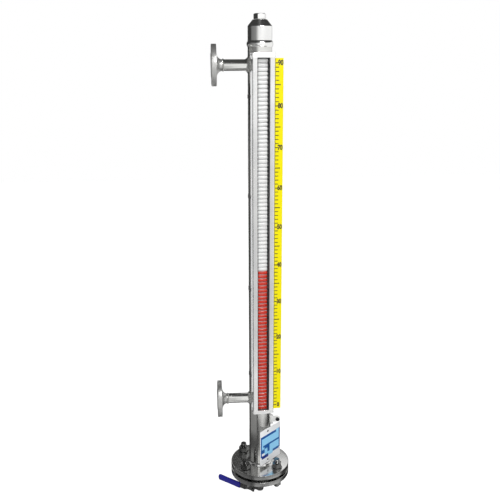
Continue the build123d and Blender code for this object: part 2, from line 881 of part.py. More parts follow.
# Nameplate: a thin sheet riveted to the bracket
with BuildPart() as nameplate:
    with BuildSketch(tangent(nameplate_back)):
        with Locations((nameplate_shift, 0)):
            RectangleRounded(nameplate_width, nameplate_height, nameplate_corner)
        with Locations(*[(bracket_shift, height) for height in name_rivet_heights]):
            Circle(name_rivet_radius + seat_gap, mode=Mode.SUBTRACT)
    extrude(amount=nameplate_sheet)
keep(nameplate.part, "nameplate")

with BuildPart() as nameplate_rivets:
    with BuildSketch(tangent(nameplate_back + nameplate_sheet)):
        with Locations(*[(bracket_shift, height) for height in name_rivet_heights]):
            Circle(name_rivet_head)
    extrude(amount=name_rivet_head_height)
    with BuildSketch(tangent(nameplate_back + nameplate_sheet)):
        with Locations(*[(bracket_shift, height) for height in name_rivet_heights]):
            Circle(name_rivet_radius)
    extrude(amount=-nameplate_sheet - name_rivet_depth)
keep(nameplate_rivets.part, "nameplate_rivets")

# Earthing lug: a pad welded to the chamber and a drilled tab
with BuildPart() as earth_lug:
    with BuildSketch(across(lug_middle - lug_pad_height / 2)):
        with Locations((tube_radius, 0)):
            Rectangle(2 * lug_pad_depth, lug_pad_width)
        Circle(tube_radius + seat_gap, mode=Mode.SUBTRACT)
    extrude(amount=lug_pad_height)
    tab_plane = Plane(
        origin=(chamber_reach, lug_thickness / 2, lug_middle), x_dir=(1, 0, 0), z_dir=(0, -1, 0)
    )
    with BuildSketch(tab_plane):
        tab_start = tube_radius + lug_tab_start
        with Locations(((tab_start + lug_bolt_reach) / 2, 0)):
            Rectangle(lug_bolt_reach - tab_start, lug_height)
        with Locations((lug_bolt_reach, 0)):
            Circle(lug_height / 2)
            Circle(lug_bolt_radius + seat_gap, mode=Mode.SUBTRACT)
    extrude(amount=lug_thickness)
keep(earth_lug.part, "earth_lug")

with BuildPart() as earth_bolt:
    with BuildSketch(tab_plane.offset(lug_thickness)):
        with Locations((lug_bolt_reach, 0)):
            RegularPolygon(hexagon_radius(lug_bolt_head), 6)
    extrude(amount=lug_bolt_head_height)
    with BuildSketch(tab_plane.offset(lug_thickness)):
        with Locations((lug_bolt_reach, 0)):
            Circle(lug_bolt_radius)
    extrude(amount=-lug_thickness - lug_bolt_end)
keep(earth_bolt.part, "earth_bolt")

# Drain nipple between the blind flange and the valve
nipple_top = blind_bottom + nipple_engagement - seat_gap
nipple_bottom = valve_middle + valve_top - socket_depth + seat_gap
with BuildPart() as drain_nipple:
    with BuildSketch(across(nipple_bottom)):
        Circle(nipple_radius)
        Circle(nipple_bore, mode=Mode.SUBTRACT)
    extrude(amount=nipple_top - nipple_bottom)
keep(drain_nipple.part, "drain_nipple")

# Valve body: barrel with a hexagon end above, and a round pad around the stem
barrel_end = cavity_half + pad_thickness
pad_seat = pad_top - pad_thickness
with BuildPart() as valve_body:
    with BuildSketch(across(valve_middle - barrel_end)):
        Circle(valve_barrel)
    extrude(amount=2 * barrel_end)
    with BuildSketch(across(valve_middle + barrel_end)):
        RegularPolygon(hexagon_radius(valve_hex), 6)
    extrude(amount=valve_top - barrel_end)
    with BuildSketch(stem_plane()):
        Circle(packing_radius + boss_wall)
    extrude(amount=pad_seat)
    with BuildSketch(stem_plane(pad_seat)):
        Circle(pad_radius)
    extrude(amount=pad_thickness)
    with BuildSketch(stem_plane(pad_top)):
        with PolarLocations(stop_pin_circle, 1, start_angle=stop_angle):
            Circle(stop_pin_radius)
    extrude(amount=lever_out + lever_thickness - pad_top)
    with BuildSketch(across(valve_middle + valve_top)):
        Circle(nipple_radius + seat_gap)
    extrude(amount=-socket_depth, mode=Mode.SUBTRACT)
    with BuildSketch(across(valve_middle + valve_top)):
        Circle(ball_bore)
    extrude(amount=-valve_top, mode=Mode.SUBTRACT)
    with BuildSketch(across(valve_middle + cavity_half)):
        Circle(cavity_radius)
    extrude(amount=-cavity_half - barrel_end, mode=Mode.SUBTRACT)
    with BuildSketch(stem_plane()):
        Circle(stem_radius + stem_clearance)
    extrude(amount=pad_top, mode=Mode.SUBTRACT)
    with BuildSketch(stem_plane(pad_top)):
        Circle(packing_radius)
    extrude(amount=-packing_height, mode=Mode.SUBTRACT)
keep(valve_body.part, "valve_body")

# Valve end: the screwed end piece with a hexagon and the threaded outlet
with BuildPart() as valve_end:
    with BuildSketch(across(valve_middle - cavity_half)):
        Circle(cavity_radius - seat_gap)
    extrude(amount=cavity_half - barrel_end)
    with BuildSketch(across(valve_middle - barrel_end)):
        RegularPolygon(hexagon_radius(end_hex), 6)
    extrude(amount=barrel_end - valve_bottom)
    with BuildSketch(across(valve_middle - valve_bottom)):
        Circle(outlet_radius)
    extrude(amount=outlet_depth, mode=Mode.SUBTRACT)
    with BuildSketch(across(valve_middle - valve_bottom)):
        Circle(ball_bore)
    extrude(amount=valve_bottom, mode=Mode.SUBTRACT)
keep(valve_end.part, "valve_end")

# Ball with its through bore along the lever and a slot for the stem's tang
ball_centre = (chamber_reach, 0, valve_middle)
with BuildPart() as valve_ball:
    with Locations(ball_centre):
        Sphere(ball_radius)
    with BuildSketch(Plane(origin=ball_centre, x_dir=(0, 0, 1), z_dir=stem_plane().x_dir)):
        Circle(ball_bore)
    extrude(amount=ball_radius, both=True, mode=Mode.SUBTRACT)
    with BuildSketch(stem_plane(ball_radius)):
        Rectangle(2 * ball_radius, stem_tang + 2 * seat_gap)
    extrude(amount=-stem_tang, mode=Mode.SUBTRACT)
keep(valve_ball.part, "valve_ball")

# Seats: two soft rings cut to the ball's curve
with BuildPart() as valve_seats:
    for side in (-1, 1):
        with BuildSketch(across(valve_middle + side * (cavity_half - seat_height))):
            Circle(cavity_radius - seat_gap)
            Circle(seat_bore, mode=Mode.SUBTRACT)
        extrude(amount=side * seat_height)
    with Locations(ball_centre):
        Sphere(ball_radius + seat_gap, mode=Mode.SUBTRACT)
keep(valve_seats.part, "valve_seats")

# Stem packing and the gland nut above it
with BuildPart() as stem_packing:
    with BuildSketch(stem_plane(pad_top - packing_height)):
        Circle(packing_radius - seat_gap)
        Circle(stem_radius + stem_clearance, mode=Mode.SUBTRACT)
    extrude(amount=packing_height)
keep(stem_packing.part, "stem_packing")

with BuildPart() as gland_nut:
    with BuildSketch(stem_plane(pad_top)):
        RegularPolygon(hexagon_radius(gland_hex), 6)
        Circle(stem_radius + stem_clearance, mode=Mode.SUBTRACT)
    extrude(amount=gland_height)
keep(gland_nut.part, "gland_nut")

# Stem: a tang in the ball's slot, the round shaft, a square for the lever and a threaded end
lever_face = lever_out + lever_thickness
with BuildPart() as valve_stem:
    with BuildSketch(stem_plane(ball_radius - stem_tang + seat_gap)):
        Rectangle(stem_tang_width, stem_tang)
    extrude(amount=stem_tang)
    with BuildSketch(stem_plane(ball_radius + seat_gap)):
        Circle(stem_radius)
    extrude(amount=lever_out - ball_radius - seat_gap)
    with BuildSketch(stem_plane(lever_out)):
        Rectangle(lever_square, lever_square)
    extrude(amount=lever_thickness)
    with BuildSketch(stem_plane(lever_face)):
        Circle(lever_stud_radius)
    extrude(amount=lever_stud_length)
keep(valve_stem.part, "valve_stem")

# Lever: a bar bent outwards past its round hub, with a square hole and a notch for the stop pin
pin_angle = degrees(stop_pin_radius / stop_pin_circle) + notch_margin
notch_start = stop_angle - lever_swing - pin_angle
notch_sweep = lever_swing + 2 * pin_angle
grip_out = lever_out + bend_rise
with BuildPart() as valve_lever:
    with BuildSketch(lever_side()):
        Polygon(
            (-lever_hub, lever_out),
            (bend_start, lever_out),
            (bend_end, grip_out),
            (lever_length, grip_out),
            (lever_length, grip_out + lever_thickness),
            (bend_end - bend_shift, grip_out + lever_thickness),
            (bend_start - bend_shift, lever_face),
            (-lever_hub, lever_face),
            align=None,
        )
    extrude(amount=lever_hub, both=True)
    with BuildSketch(stem_plane(lever_out)):
        Circle(lever_hub)
        Polygon(
            (0, lever_neck / 2),
            (0, -lever_neck / 2),
            (lever_length, -lever_grip / 2),
            (lever_length, lever_grip / 2),
            align=None,
        )
        Rectangle(lever_square + 2 * seat_gap, lever_square + 2 * seat_gap, mode=Mode.SUBTRACT)
        with BuildLine():
            inner_edge = stop_pin_circle - stop_pin_radius - part_gap
            arc = CenterArc((0, 0), inner_edge, notch_start, notch_sweep)
            rim = CenterArc((0, 0), lever_hub + 1, notch_start, notch_sweep)
            Line(arc @ 0, rim @ 0)
            Line(arc @ 1, rim @ 1)
        make_face(mode=Mode.SUBTRACT)
    extrude(amount=bend_rise + lever_thickness, mode=Mode.INTERSECT)
keep(valve_lever.part, "valve_lever")

with BuildPart() as lever_nut:
    with BuildSketch(stem_plane(lever_face)):
        RegularPolygon(hexagon_radius(lever_nut_hex), 6)
        Circle(lever_stud_radius + seat_gap, mode=Mode.SUBTRACT)
    extrude(amount=lever_nut_height)
keep(lever_nut.part, "lever_nut")

# Grip sleeve: soft plastic drawn over the lever's end
sleeve_length = sleeve_end - sleeve_start
with BuildPart() as lever_sleeve:
    with BuildSketch(stem_plane(grip_out + lever_thickness / 2 - sleeve_depth / 2)):
        with Locations(((sleeve_start + sleeve_end) / 2, 0)):
            RectangleRounded(sleeve_length, sleeve_height, sleeve_corner)
    extrude(amount=sleeve_depth)
    chamfer(lever_sleeve.faces().filter_by(stem_plane()).edges(), sleeve_chamfer)
    with BuildSketch(stem_plane(grip_out - seat_gap)):
        taper = (lever_neck - lever_grip) / 2 / lever_length
        wide = lever_neck / 2 - taper * sleeve_start + seat_gap
        narrow = lever_grip / 2 + seat_gap
        Polygon(
            (sleeve_start - 1, wide),
            (sleeve_start - 1, -wide),
            (lever_length + seat_gap, -narrow),
            (lever_length + seat_gap, narrow),
            align=None,
        )
    extrude(amount=lever_thickness + 2 * seat_gap, mode=Mode.SUBTRACT)
keep(lever_sleeve.part, "lever_sleeve")
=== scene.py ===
"""Looks of a magnetic level gauge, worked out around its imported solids.

Metres. The origin is the centre of the lower process flange's face, +X runs from the flanges to the
chamber, +Z is up and the indicator looks towards -Y, turned five degrees about the chamber.
"""

from math import cos, pi, radians, sin, tan

import bmesh
import bpy
import numpy as np
from mathutils import Matrix, Vector


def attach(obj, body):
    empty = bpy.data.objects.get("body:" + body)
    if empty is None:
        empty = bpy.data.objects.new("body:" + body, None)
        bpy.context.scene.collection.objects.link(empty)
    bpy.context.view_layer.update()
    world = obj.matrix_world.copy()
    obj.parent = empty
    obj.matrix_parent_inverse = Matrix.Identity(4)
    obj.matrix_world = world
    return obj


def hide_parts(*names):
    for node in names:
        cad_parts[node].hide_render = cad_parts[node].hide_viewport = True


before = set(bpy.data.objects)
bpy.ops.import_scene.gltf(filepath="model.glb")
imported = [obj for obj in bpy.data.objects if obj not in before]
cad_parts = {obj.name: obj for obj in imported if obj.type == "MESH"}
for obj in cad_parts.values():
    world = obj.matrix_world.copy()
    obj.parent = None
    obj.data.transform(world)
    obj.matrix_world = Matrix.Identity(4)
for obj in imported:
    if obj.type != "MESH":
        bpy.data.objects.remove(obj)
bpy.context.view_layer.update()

# Chamber: a length of 50A stainless tube, polished after the two nozzle holes were drilled.
# The float rides inside it, and everything else is welded, bolted or clamped to it.
chamber_x = 0.12
tube_radius = 0.03015
tube_bore = 0.02725
tube_ends = (-0.2129, 0.9497)
nozzle_bore = 0.0111
nozzle_levels = (0.0, 0.9)
around = 128
patch_columns = 16
patch_rows = 6


def shader(name, base, roughness, metallic=0.0, specular=0.5, alpha=1.0):
    """A new material with its Principled shader set to one colour and finish."""
    paint = bpy.data.materials.new(name)
    paint.use_nodes = True
    coat = paint.node_tree.nodes["Principled BSDF"]
    coat.inputs["Base Color"].default_value = (*base, 1)
    coat.inputs["Roughness"].default_value = roughness
    coat.inputs["Metallic"].default_value = metallic
    coat.inputs["Specular IOR Level"].default_value = specular
    coat.inputs["Alpha"].default_value = alpha
    return paint, coat


def node(tree, kind, values, wires):
    """A new node with values on its sockets and the outputs of other nodes wired to them."""
    made = tree.nodes.new(kind)
    for socket, value in values.items():
        made.inputs[socket].default_value = value
    for socket, source in wires.items():
        tree.links.new(source, made.inputs[socket])
    return made


def object_grain(tree, scale, detail=3.0, up=1):
    """Noise over the piece's own coordinates, so many times finer along +Z as a belt leaves it."""
    place = tree.nodes.new("ShaderNodeTexCoord").outputs["Object"]
    pull = node(tree, "ShaderNodeMapping", {"Scale": (1, 1, up)}, {"Vector": place})
    fine = {"Scale": scale, "Detail": detail}
    return node(tree, "ShaderNodeTexNoise", fine, {"Vector": pull.outputs["Vector"]}).outputs["Fac"]


def spread(tree, value, low, high):
    """Carries a noise value of 0.3 to 0.7 over to the range low to high."""
    ends = {"From Min": 0.3, "From Max": 0.7, "To Min": low, "To Max": high}
    return node(tree, "ShaderNodeMapRange", ends, {"Value": value}).outputs["Result"]


def roughen(tree, coat, value, strength, distance):
    """Bump from a value between 0 and 1, with its height given in metres."""
    size = {"Strength": strength, "Distance": distance}
    bump = node(tree, "ShaderNodeBump", size, {"Height": value})
    tree.links.new(bump.outputs["Normal"], coat.inputs["Normal"])


def steel(name, dark, light, rough, scale=60.0, grain=0.25, up=1, metallic=1.0):
    """Stainless steel: a tone between two greys, each given as (red and green, blue), roughness
    between two values, and a fine grain."""
    dark, light = ((grey, grey, blue) for grey, blue in (dark, light))
    paint, coat = shader(name, light, rough[0], metallic)
    tree = paint.node_tree
    fine = object_grain(tree, scale, up=up)
    cloudy = object_grain(tree, 18.0, 2.0)
    blend = tree.nodes.new("ShaderNodeMix")
    blend.data_type = "RGBA"
    blend.inputs["A"].default_value = (*dark, 1)
    blend.inputs["B"].default_value = (*light, 1)
    tree.links.new(spread(tree, cloudy, 0, 1), blend.inputs["Factor"])
    tree.links.new(blend.outputs["Result"], coat.inputs["Base Color"])
    tree.links.new(spread(tree, fine, *rough), coat.inputs["Roughness"])
    roughen(tree, coat, fine, grain, 0.00004)
    return paint


def added(name, data):
    """A new object in the scene, at the origin and unturned."""
    made = bpy.data.objects.new(name, data)
    bpy.context.scene.collection.objects.link(made)
    return made


def grid_faces(rows, columns, close_rows=False, close_columns=False):
    """Quads over a grid of points numbered row by row, joined round where a side is closed."""
    r = np.arange(rows if close_rows else rows - 1)
    c = np.arange(columns if close_columns else columns - 1)
    r, c = (a.ravel() for a in np.meshgrid(r, c, indexing="ij"))
    r2, c2 = (r + 1) % rows, (c + 1) % columns
    return np.stack([r * columns + c, r * columns + c2, r2 * columns + c2, r2 * columns + c], 1)


def strip(rings):
    """Surface through closed rings of points, from the first to the last."""
    rings = np.stack(rings)
    return rings, grid_faces(len(rings), rings.shape[1], close_columns=True)


def piece(name, parts, paint, stands_for=(), body="gauge", crease=32.0):
    """One object from several (points, faces) parts. Doubles are merged, normals point outwards and
    edges sharper than the crease angle stay sharp."""
    points = np.concatenate([p.reshape(-1, 3) for p, _ in parts])
    starts = np.cumsum([0] + [p.size // 3 for p, _ in parts[:-1]])
    faces = [face for (_, f), s in zip(parts, starts) for face in (np.asarray(f) + s).tolist()]
    mesh = bpy.data.meshes.new(name)
    mesh.from_pydata(points.tolist(), [], faces)
    work = bmesh.new()
    work.from_mesh(mesh)
    bmesh.ops.remove_doubles(work, verts=work.verts, dist=2e-7)
    bmesh.ops.dissolve_degenerate(work, edges=work.edges, dist=1e-7)
    bmesh.ops.recalc_face_normals(work, faces=work.faces)
    work.to_mesh(mesh)
    work.free()
    mesh.polygons.foreach_set("use_smooth", np.ones(len(mesh.polygons), bool))
    mesh.set_sharp_from_angle(angle=radians(crease))
    made = added(name, mesh)
    mesh.materials.append(paint)
    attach(made, body)
    if stands_for:
        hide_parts(*stands_for)
    return made


def patch_grid(inner, outer, rows):
    """Grid from one closed outline to another with as many points: (1 - s) * inner + s * outer."""
    s = np.linspace(0, 1, rows)[:, None, None]
    return strip((1 - s) * inner[None] + s * outer[None])


def wrapped(flat, radius):
    """Rolls flat points (arc length round the tube from its -X side, height) on to the chamber."""
    turn = flat[..., 0] / radius
    across = [chamber_x - radius * np.cos(turn), -radius * np.sin(turn)]
    return np.stack([*across, flat[..., 1]], -1)


def round_tube(radius):
    """Arc lengths round the tube, from half a turn back to half a turn on."""
    return (np.arange(around) - around / 2) * 2 * pi * radius / around


def hole_edge(radius, t, level=0.0):
    """Where the nozzle's bore meets a tube: arc length radius * asin(bore cos t / radius), height
    bore sin t."""
    arc = np.arcsin(nozzle_bore * np.cos(t) / radius) * radius
    return np.stack([arc, level + nozzle_bore * np.sin(t)], 1)


tube_parts = []
for radius in (tube_radius, tube_bore):
    half = patch_columns // 2 * 2 * pi * radius / around
    side = np.linspace(-half, half, patch_columns + 1)
    low, high = np.full(patch_columns, -half), np.full(patch_columns, half)
    sides = ((side[:-1], low), (high, side[:-1]), (side[:0:-1], high), (low, side[:0:-1]))
    square = np.concatenate([np.stack(pair, 1) for pair in sides])
    hole_turn = np.arctan2(square[:, 1], square[:, 0])
    bands = [tube_ends[0]]
    for level in nozzle_levels:
        bands += list(level + side)
        flat, faces = patch_grid(hole_edge(radius, hole_turn), square, patch_rows)
        tube_parts.append((wrapped(flat + np.array([0, level]), radius), faces))
    bands = np.array(bands + [tube_ends[1]])
    grid_turn = round_tube(radius)
    flat = np.stack(np.meshgrid(grid_turn, bands), -1)
    faces = grid_faces(len(bands), around, close_columns=True)
    corners = flat.reshape(-1, 2)[faces]
    wide = np.abs(corners[:, 0, 0] + 0.5 * (grid_turn[1] - grid_turn[0])) < half
    near = (np.abs(corners[:, [0, 2], 1].mean(1)[:, None] - nozzle_levels) < half).any(1)
    tube_parts.append((wrapped(flat, radius), faces[~(wide & near)]))
walls = (tube_bore, tube_radius)
for level in nozzle_levels:
    tube_parts.append(strip([wrapped(hole_edge(r, hole_turn, level), r) for r in walls]))
for end in tube_ends:
    rings = [np.stack([round_tube(r), np.full(around, end)], 1) for r in walls]
    tube_parts.append(strip([wrapped(ring, r) for ring, r in zip(rings, walls)]))
tube_steel = steel("tube_steel", (0.68, 0.66), (0.8, 0.78), (0.12, 0.2), 90.0, 0.12, up=14)
piece("chamber", tube_parts, tube_steel, ("chamber_tube",))

# Top cap: turned from bar, with a rounded rim over the tube's end, welded on and polished with it.
# The sloping shoulder leads up to the threaded vent, which a plug closes.
cap_base = 0.942
cap_rim_height = 0.015
cap_rim_swell = 0.0024
cap_skirt_top = 0.99
cap_top = 1.005
cap_seat = 0.95
cap_seat_radius = 0.03025
cap_ceiling = cap_skirt_top - 0.0035
vent_radius = 0.0097
upright = ((chamber_x, 0, 0), (0, 0, 1))


def rounded(corners, radii, steps=5, closed=True):
    """Outline with parabolas for its corners: (1-s)^2 A + 2 s (1-s) P + s^2 C, where A and C lie
    the corner's radius from it along its two sides. An open outline keeps its two ends."""
    p = np.array(corners, float)
    used = slice(None) if closed else slice(1, -1)
    corner = p[used]
    r = np.broadcast_to(np.asarray(radii, float), len(corner))[:, None]
    back, ahead = np.roll(p, 1, 0)[used] - corner, np.roll(p, -1, 0)[used] - corner
    a = (corner + back / np.linalg.norm(back, axis=1, keepdims=True) * r)[:, None]
    c = (corner + ahead / np.linalg.norm(ahead, axis=1, keepdims=True) * r)[:, None]
    s = np.linspace(0, 1, steps)[None, :, None]
    curve = ((1 - s) ** 2 * a + 2 * s * (1 - s) * corner[:, None] + s**2 * c).reshape(-1, 2)
    return curve if closed else np.concatenate([p[:1], curve, p[-1:]])


def about(foot, axis, a, b, height):
    """Places round an axis: foot + a * e1 + b * e2 + height * axis, where e1 is +X made square to
    the axis, or +Y for an axis along X, and e2 = axis x e1."""
    axis = np.array(axis, float)
    side = np.array((1.0, 0, 0)) if abs(axis[0]) < 0.9 else np.array((0, 1.0, 0))
    e1 = side - axis * (side @ axis)
    e1 /= np.linalg.norm(e1)
    a, b, height = (np.asarray(v, float)[..., None] for v in (a, b, height))
    return np.array(foot) + height * axis + a * e1 + b * np.cross(axis, e1)


def turned(profile, foot=upright[0], axis=upright[1], steps=around, closed=True):
    """A profile of (radius, height) carried once round an axis by (radius cos t, radius sin t). An
    open profile leaves its two ends to meet other surfaces."""
    r, h = np.asarray(profile, float).T[..., None]
    t = np.arange(steps) * 2 * pi / steps
    points = about(foot, axis, r * np.cos(t), r * np.sin(t), h)
    return points, grid_faces(len(r), steps, closed, True)


s = np.linspace(0, 1, 13)
rim_radius = 0.03085 + cap_rim_swell * np.sin(pi * s) - 0.0007 * s
shoulder = rounded(
    [(0.03015, cap_base + cap_rim_height), (0.03015, cap_skirt_top),
     (0.0265, cap_skirt_top + 0.0042), (0.0176, cap_top), (vent_radius, cap_top),
     (vent_radius, cap_ceiling), (0.02375, cap_ceiling), (tube_bore, cap_ceiling - 0.0035),
     (tube_bore, cap_seat), (cap_seat_radius, cap_seat), (cap_seat_radius, cap_base)],
    (0.0001, 0.0012, 0.0022, 0.0008, 0.0003, 0.0003, 0.001, 0.001, 0.0001, 0.0001, 0.0001),
)
profile = np.concatenate([np.stack([rim_radius, cap_base + cap_rim_height * s], 1), shoulder])
cap_steel = steel("cap_steel", (0.84, 0.83), (0.93, 0.92), (0.12, 0.22), 120.0, 0.12, up=20)
piece("top_cap_turned", [turned(profile)], cap_steel, ("top_cap",))

# Vent plug: a hexagon head on a threaded shank, screwed down on a flat sealing ring.
# Its top edge is chamfered as all such heads are.
plug_seat = 1.0065
plug_across = 0.027
plug_height = 0.0125
chamfer_circle = 0.93


def hexagon(across, low, high, foot, axis, bore=0.0, tops=(True, True), steps=72, twist=0.0):
    """Six-sided nut or head: radius (across / 2) / cos(t mod 60 - 30 degrees), cut top and bottom
    by a cone of 30 degrees from the chamfer's circle, so each flat ends in a curve."""
    t = np.arange(steps) * 2 * pi / steps
    outline = across / 2 / np.cos(np.mod(t, pi / 3) - pi / 6)
    flat = across / 2 * chamfer_circle
    drop = np.maximum(outline - flat, 0) * tan(radians(30))
    rows = [(bore, low)]
    rows += [(flat, low), (outline, low + drop)] if tops[0] else [(outline, low)]
    rows += [(outline, high - drop), (flat, high)] if tops[1] else [(outline, high)]
    rows += [(bore, high)]
    r, h = (np.stack([np.broadcast_to(row[k], steps) for row in rows]) for k in (0, 1))
    points = about(foot, axis, r * np.cos(t + twist), r * np.sin(t + twist), h)
    return points, grid_faces(len(r), steps, bore > 0, True)


def plain(name, colour, roughness, scale, strength, distance, detail=3.0, specular=0.5, alpha=1.0):
    """Paint, plastic, rubber or glass: one colour and roughness, with a fine bump over it."""
    paint, coat = shader(name, colour, roughness, 0.0, specular, alpha)
    tree = paint.node_tree
    roughen(tree, coat, object_grain(tree, scale, detail), strength, distance)
    return paint


fixing_steel = steel("fixing_steel", (0.1, 0.1), (0.26, 0.255), (0.16, 0.32), 260.0, 0.15)
head = (plug_across, plug_seat, plug_seat + plug_height, *upright)
head = hexagon(*head, tops=(False, True), twist=radians(8))
shank = [(0.0, -0.012), (0.0085, -0.012), (0.0096, -0.011), (0.0096, 0.001), (0.0, 0.001)]
shank = turned(np.array(shank) + (0, plug_seat))
piece("vent_plug_head", [head, shank], cap_steel, ("vent_plug",))
# The sealing ring is white, but its colour is darkened to grey as painted shade under the plug's
# head
soft_white = plain("soft_white", (0.4, 0.4, 0.39), 0.5, 400.0, 0.2, 0.00003)
ring = [(vent_radius, cap_top), (0.0134, cap_top), (0.0134, plug_seat), (vent_radius, plug_seat)]
piece("vent_ring", [turned(rounded(ring, 0.0003, 4))], soft_white, ("vent_seal",))

# Process flanges: two forged weld neck flanges of 20A, turned on the face, the rim and the hub, and
# drilled for four bolts that straddle the centre line. Each bolts the gauge to a tank's nozzle.
process_rim = 0.05
process_thickness = 0.014
process_bolts = (0.0375, 0.0075)
process_band = (0.03, 0.047)
face_rise = 0.001
stub_radius = 0.0136
stub_start = 0.027
bolt_count = 4


def arc(radius, t):
    """Points on a circle: (radius cos t, radius sin t)."""
    return np.stack([radius * np.cos(t), radius * np.sin(t)], -1)


def drilled_ring(inner, outer, circle, hole, heights, foot, axis):
    """Both faces of a ring between two radii, and the walls of its bolt holes. Each face is cut in
    equal sectors, and each sector is a grid from its hole's edge to the sector's outline."""
    per = around // bolt_count
    parts = []
    for k in range(bolt_count):
        middle = (k + 0.5) * 2 * pi / bolt_count
        t = middle + (np.arange(per + 1) - per / 2) * 2 * pi / around
        r = np.linspace(inner, outer, 9)
        walk = ((outer, t[:-1]), (r[:0:-1], t[-1]), (inner, t[:0:-1]), (r[:-1], t[0]))
        outline = np.concatenate([arc(*step) for step in walk])
        centre = np.array([circle * cos(middle), circle * sin(middle)])
        spoke = outline - centre
        edge = centre + spoke / np.linalg.norm(spoke, axis=1, keepdims=True) * hole
        flat, faces = patch_grid(edge, outline, 5)
        parts += [(about(foot, axis, flat[..., 0], flat[..., 1], h), faces) for h in heights]
        parts.append(strip([about(foot, axis, edge[:, 0], edge[:, 1], h) for h in heights]))
    return parts


face_edge = rounded(
    [(process_band[0], face_rise), (0.028, face_rise), (0.028, 0.0), (nozzle_bore, 0.0),
     (nozzle_bore, stub_start), (stub_radius, stub_start), (0.014, 0.025), (0.016, 0.0205),
     (0.0205, 0.0164), (0.0265, 0.0146), (process_band[0], process_thickness)],
    (0.0002, 0.0003, 0.0004, 0.0001, 0.0001, 0.001, 0.0024, 0.003, 0.0022), closed=False,
)
rim_edge = rounded(
    [(process_band[1], face_rise), (process_rim, face_rise), (process_rim, process_thickness),
     (process_band[1], process_thickness)], 0.002, 6, False,
)
forged_steel = steel(
    "forged_steel", (0.46, 0.45), (0.58, 0.57), (0.3, 0.4), 120.0, 0.05, metallic=0.8
)
for side_name, level in zip(("lower", "upper"), nozzle_levels):
    place = ((0, 0, level), (1, 0, 0))
    parts = [turned(edge, *place, closed=False) for edge in (face_edge, rim_edge)]
    parts += drilled_ring(*process_band, *process_bolts, (face_rise, process_thickness), *place)
    node_name = side_name + "_process_flange"
    piece(side_name + "_flange_forging", parts, forged_steel, (node_name,))

# Nozzles: short stubs of 20A tube, butt welded to the flanges and set on to the chamber's holes.
# Both weld beads show the ripples of the torch and were brushed clean.
weld_ripples = 46
butt_start = 0.0271
butt_width, butt_rise = 0.005, 0.0019
saddle_toe, saddle_throat, saddle_fill = 0.0062, 0.0064, 0.42
t = np.arange(around) * 2 * pi / around


def shell_x(radius):
    """Where lines along the nozzle at that radius meet the chamber's outside."""
    return chamber_x - np.sqrt((tube_radius + 0.0001) ** 2 - (radius * np.cos(t)) ** 2)


# Butt weld: radius stub + rise sin(pi s), rippled round the stub
s = np.linspace(0, 1, 9)[:, None]
ripple = np.sin(pi * s) * np.cos(weld_ripples * t)
bead_r = stub_radius + butt_rise * (np.sin(pi * s) + 0.1 * ripple)
bead_x = butt_start + butt_width * s + 0.0003 * ripple
# Saddle weld: a parabola from the stub to the chamber, its corner drawn in by the fill
s = np.linspace(0, 1, 11)[:, None]
stub_x = shell_x(stub_radius) - saddle_throat
toe_x = shell_x(stub_radius + saddle_toe)
corner_r = stub_radius + saddle_fill * saddle_toe / 2
corner_x = (1 - saddle_fill) * shell_x(stub_radius) + saddle_fill * (stub_x + toe_x) / 2
weights = (1 - s) ** 2, 2 * s * (1 - s), s**2
wave = 0.00022 * np.sin(pi * s) * np.cos(1.6 * weld_ripples * t)
flare_r = weights[0] * stub_radius + weights[1] * corner_r + weights[2] * (stub_radius + saddle_toe)
flare_x = weights[0] * stub_x + weights[1] * corner_x + weights[2] * toe_x
r = np.concatenate([bead_r, flare_r + wave, np.full((2, around), nozzle_bore)])
x = np.concatenate([bead_x, flare_x - wave, [shell_x(nozzle_bore)], [np.full(around, butt_start)]])
for side_name, level in zip(("lower", "upper"), nozzle_levels):
    points = np.stack([x, r * np.cos(t), level + r * np.sin(t)], -1)
    parts = [(points, grid_faces(len(r), around, True, True))]
    piece(side_name + "_nozzle_stub", parts, tube_steel, (side_name + "_nozzle",))

# Bottom flanges: a plate flange welded round the tube's foot, a black sheet gasket, and a blind
# flange that takes the drain. Both plates are turned and polished on the rim and the faces.
plate_radius = 0.0825
plate_thickness = 0.013
seal_radius = 0.0495
seal_rise = 0.003
base_top = -0.2
base_under = base_top - plate_thickness
base_seal = -0.216
blind_seal = -0.2185
blind_upper = blind_seal - seal_rise
blind_bottom = -0.2345
base_weld = 0.0062
bolt_circle = 0.0625
bolt_hole = 0.009
plate_band = (0.05, 0.075)
rim_starts = 0.0816
flange_steel = steel("flange_steel", (0.7, 0.69), (0.8, 0.79), (0.14, 0.19), 60.0, 0.0)
# Rim steel: darker than the faces' steel, a painted shade for the darker reflection on the rims
rim_steel = steel("rim_steel", (0.3, 0.295), (0.42, 0.41), (0.24, 0.32), 120.0, 0.06)


def face_middles(made):
    """Middle of each face of a piece."""
    middle = np.zeros(len(made.data.polygons) * 3)
    made.data.polygons.foreach_get("center", middle)
    return middle.reshape(-1, 3)


def flange_plate(name, stands_for, top, bottom, inner_edge, more=()):
    """A drilled plate between two heights with rounded rims. Faces out on the rim get a darker
    steel, painted shade for the darker reflection that the rims show."""
    edge = plate_band[1]
    rim = [(edge, top), (plate_radius, top), (plate_radius, bottom), (edge, bottom)]
    parts = [turned(rounded(rim, 0.0013, 6, False), closed=False)]
    parts += [turned(inner_edge, closed=False), *more]
    parts += drilled_ring(*plate_band, bolt_circle, bolt_hole, (top, bottom), *upright)
    made = piece(name, parts, flange_steel, (stands_for,))
    made.data.materials.append(rim_steel)
    middle = face_middles(made)
    far = np.hypot(middle[:, 0] - chamber_x, middle[:, 1]) > rim_starts
    made.data.polygons.foreach_set("material_index", far.astype(int))


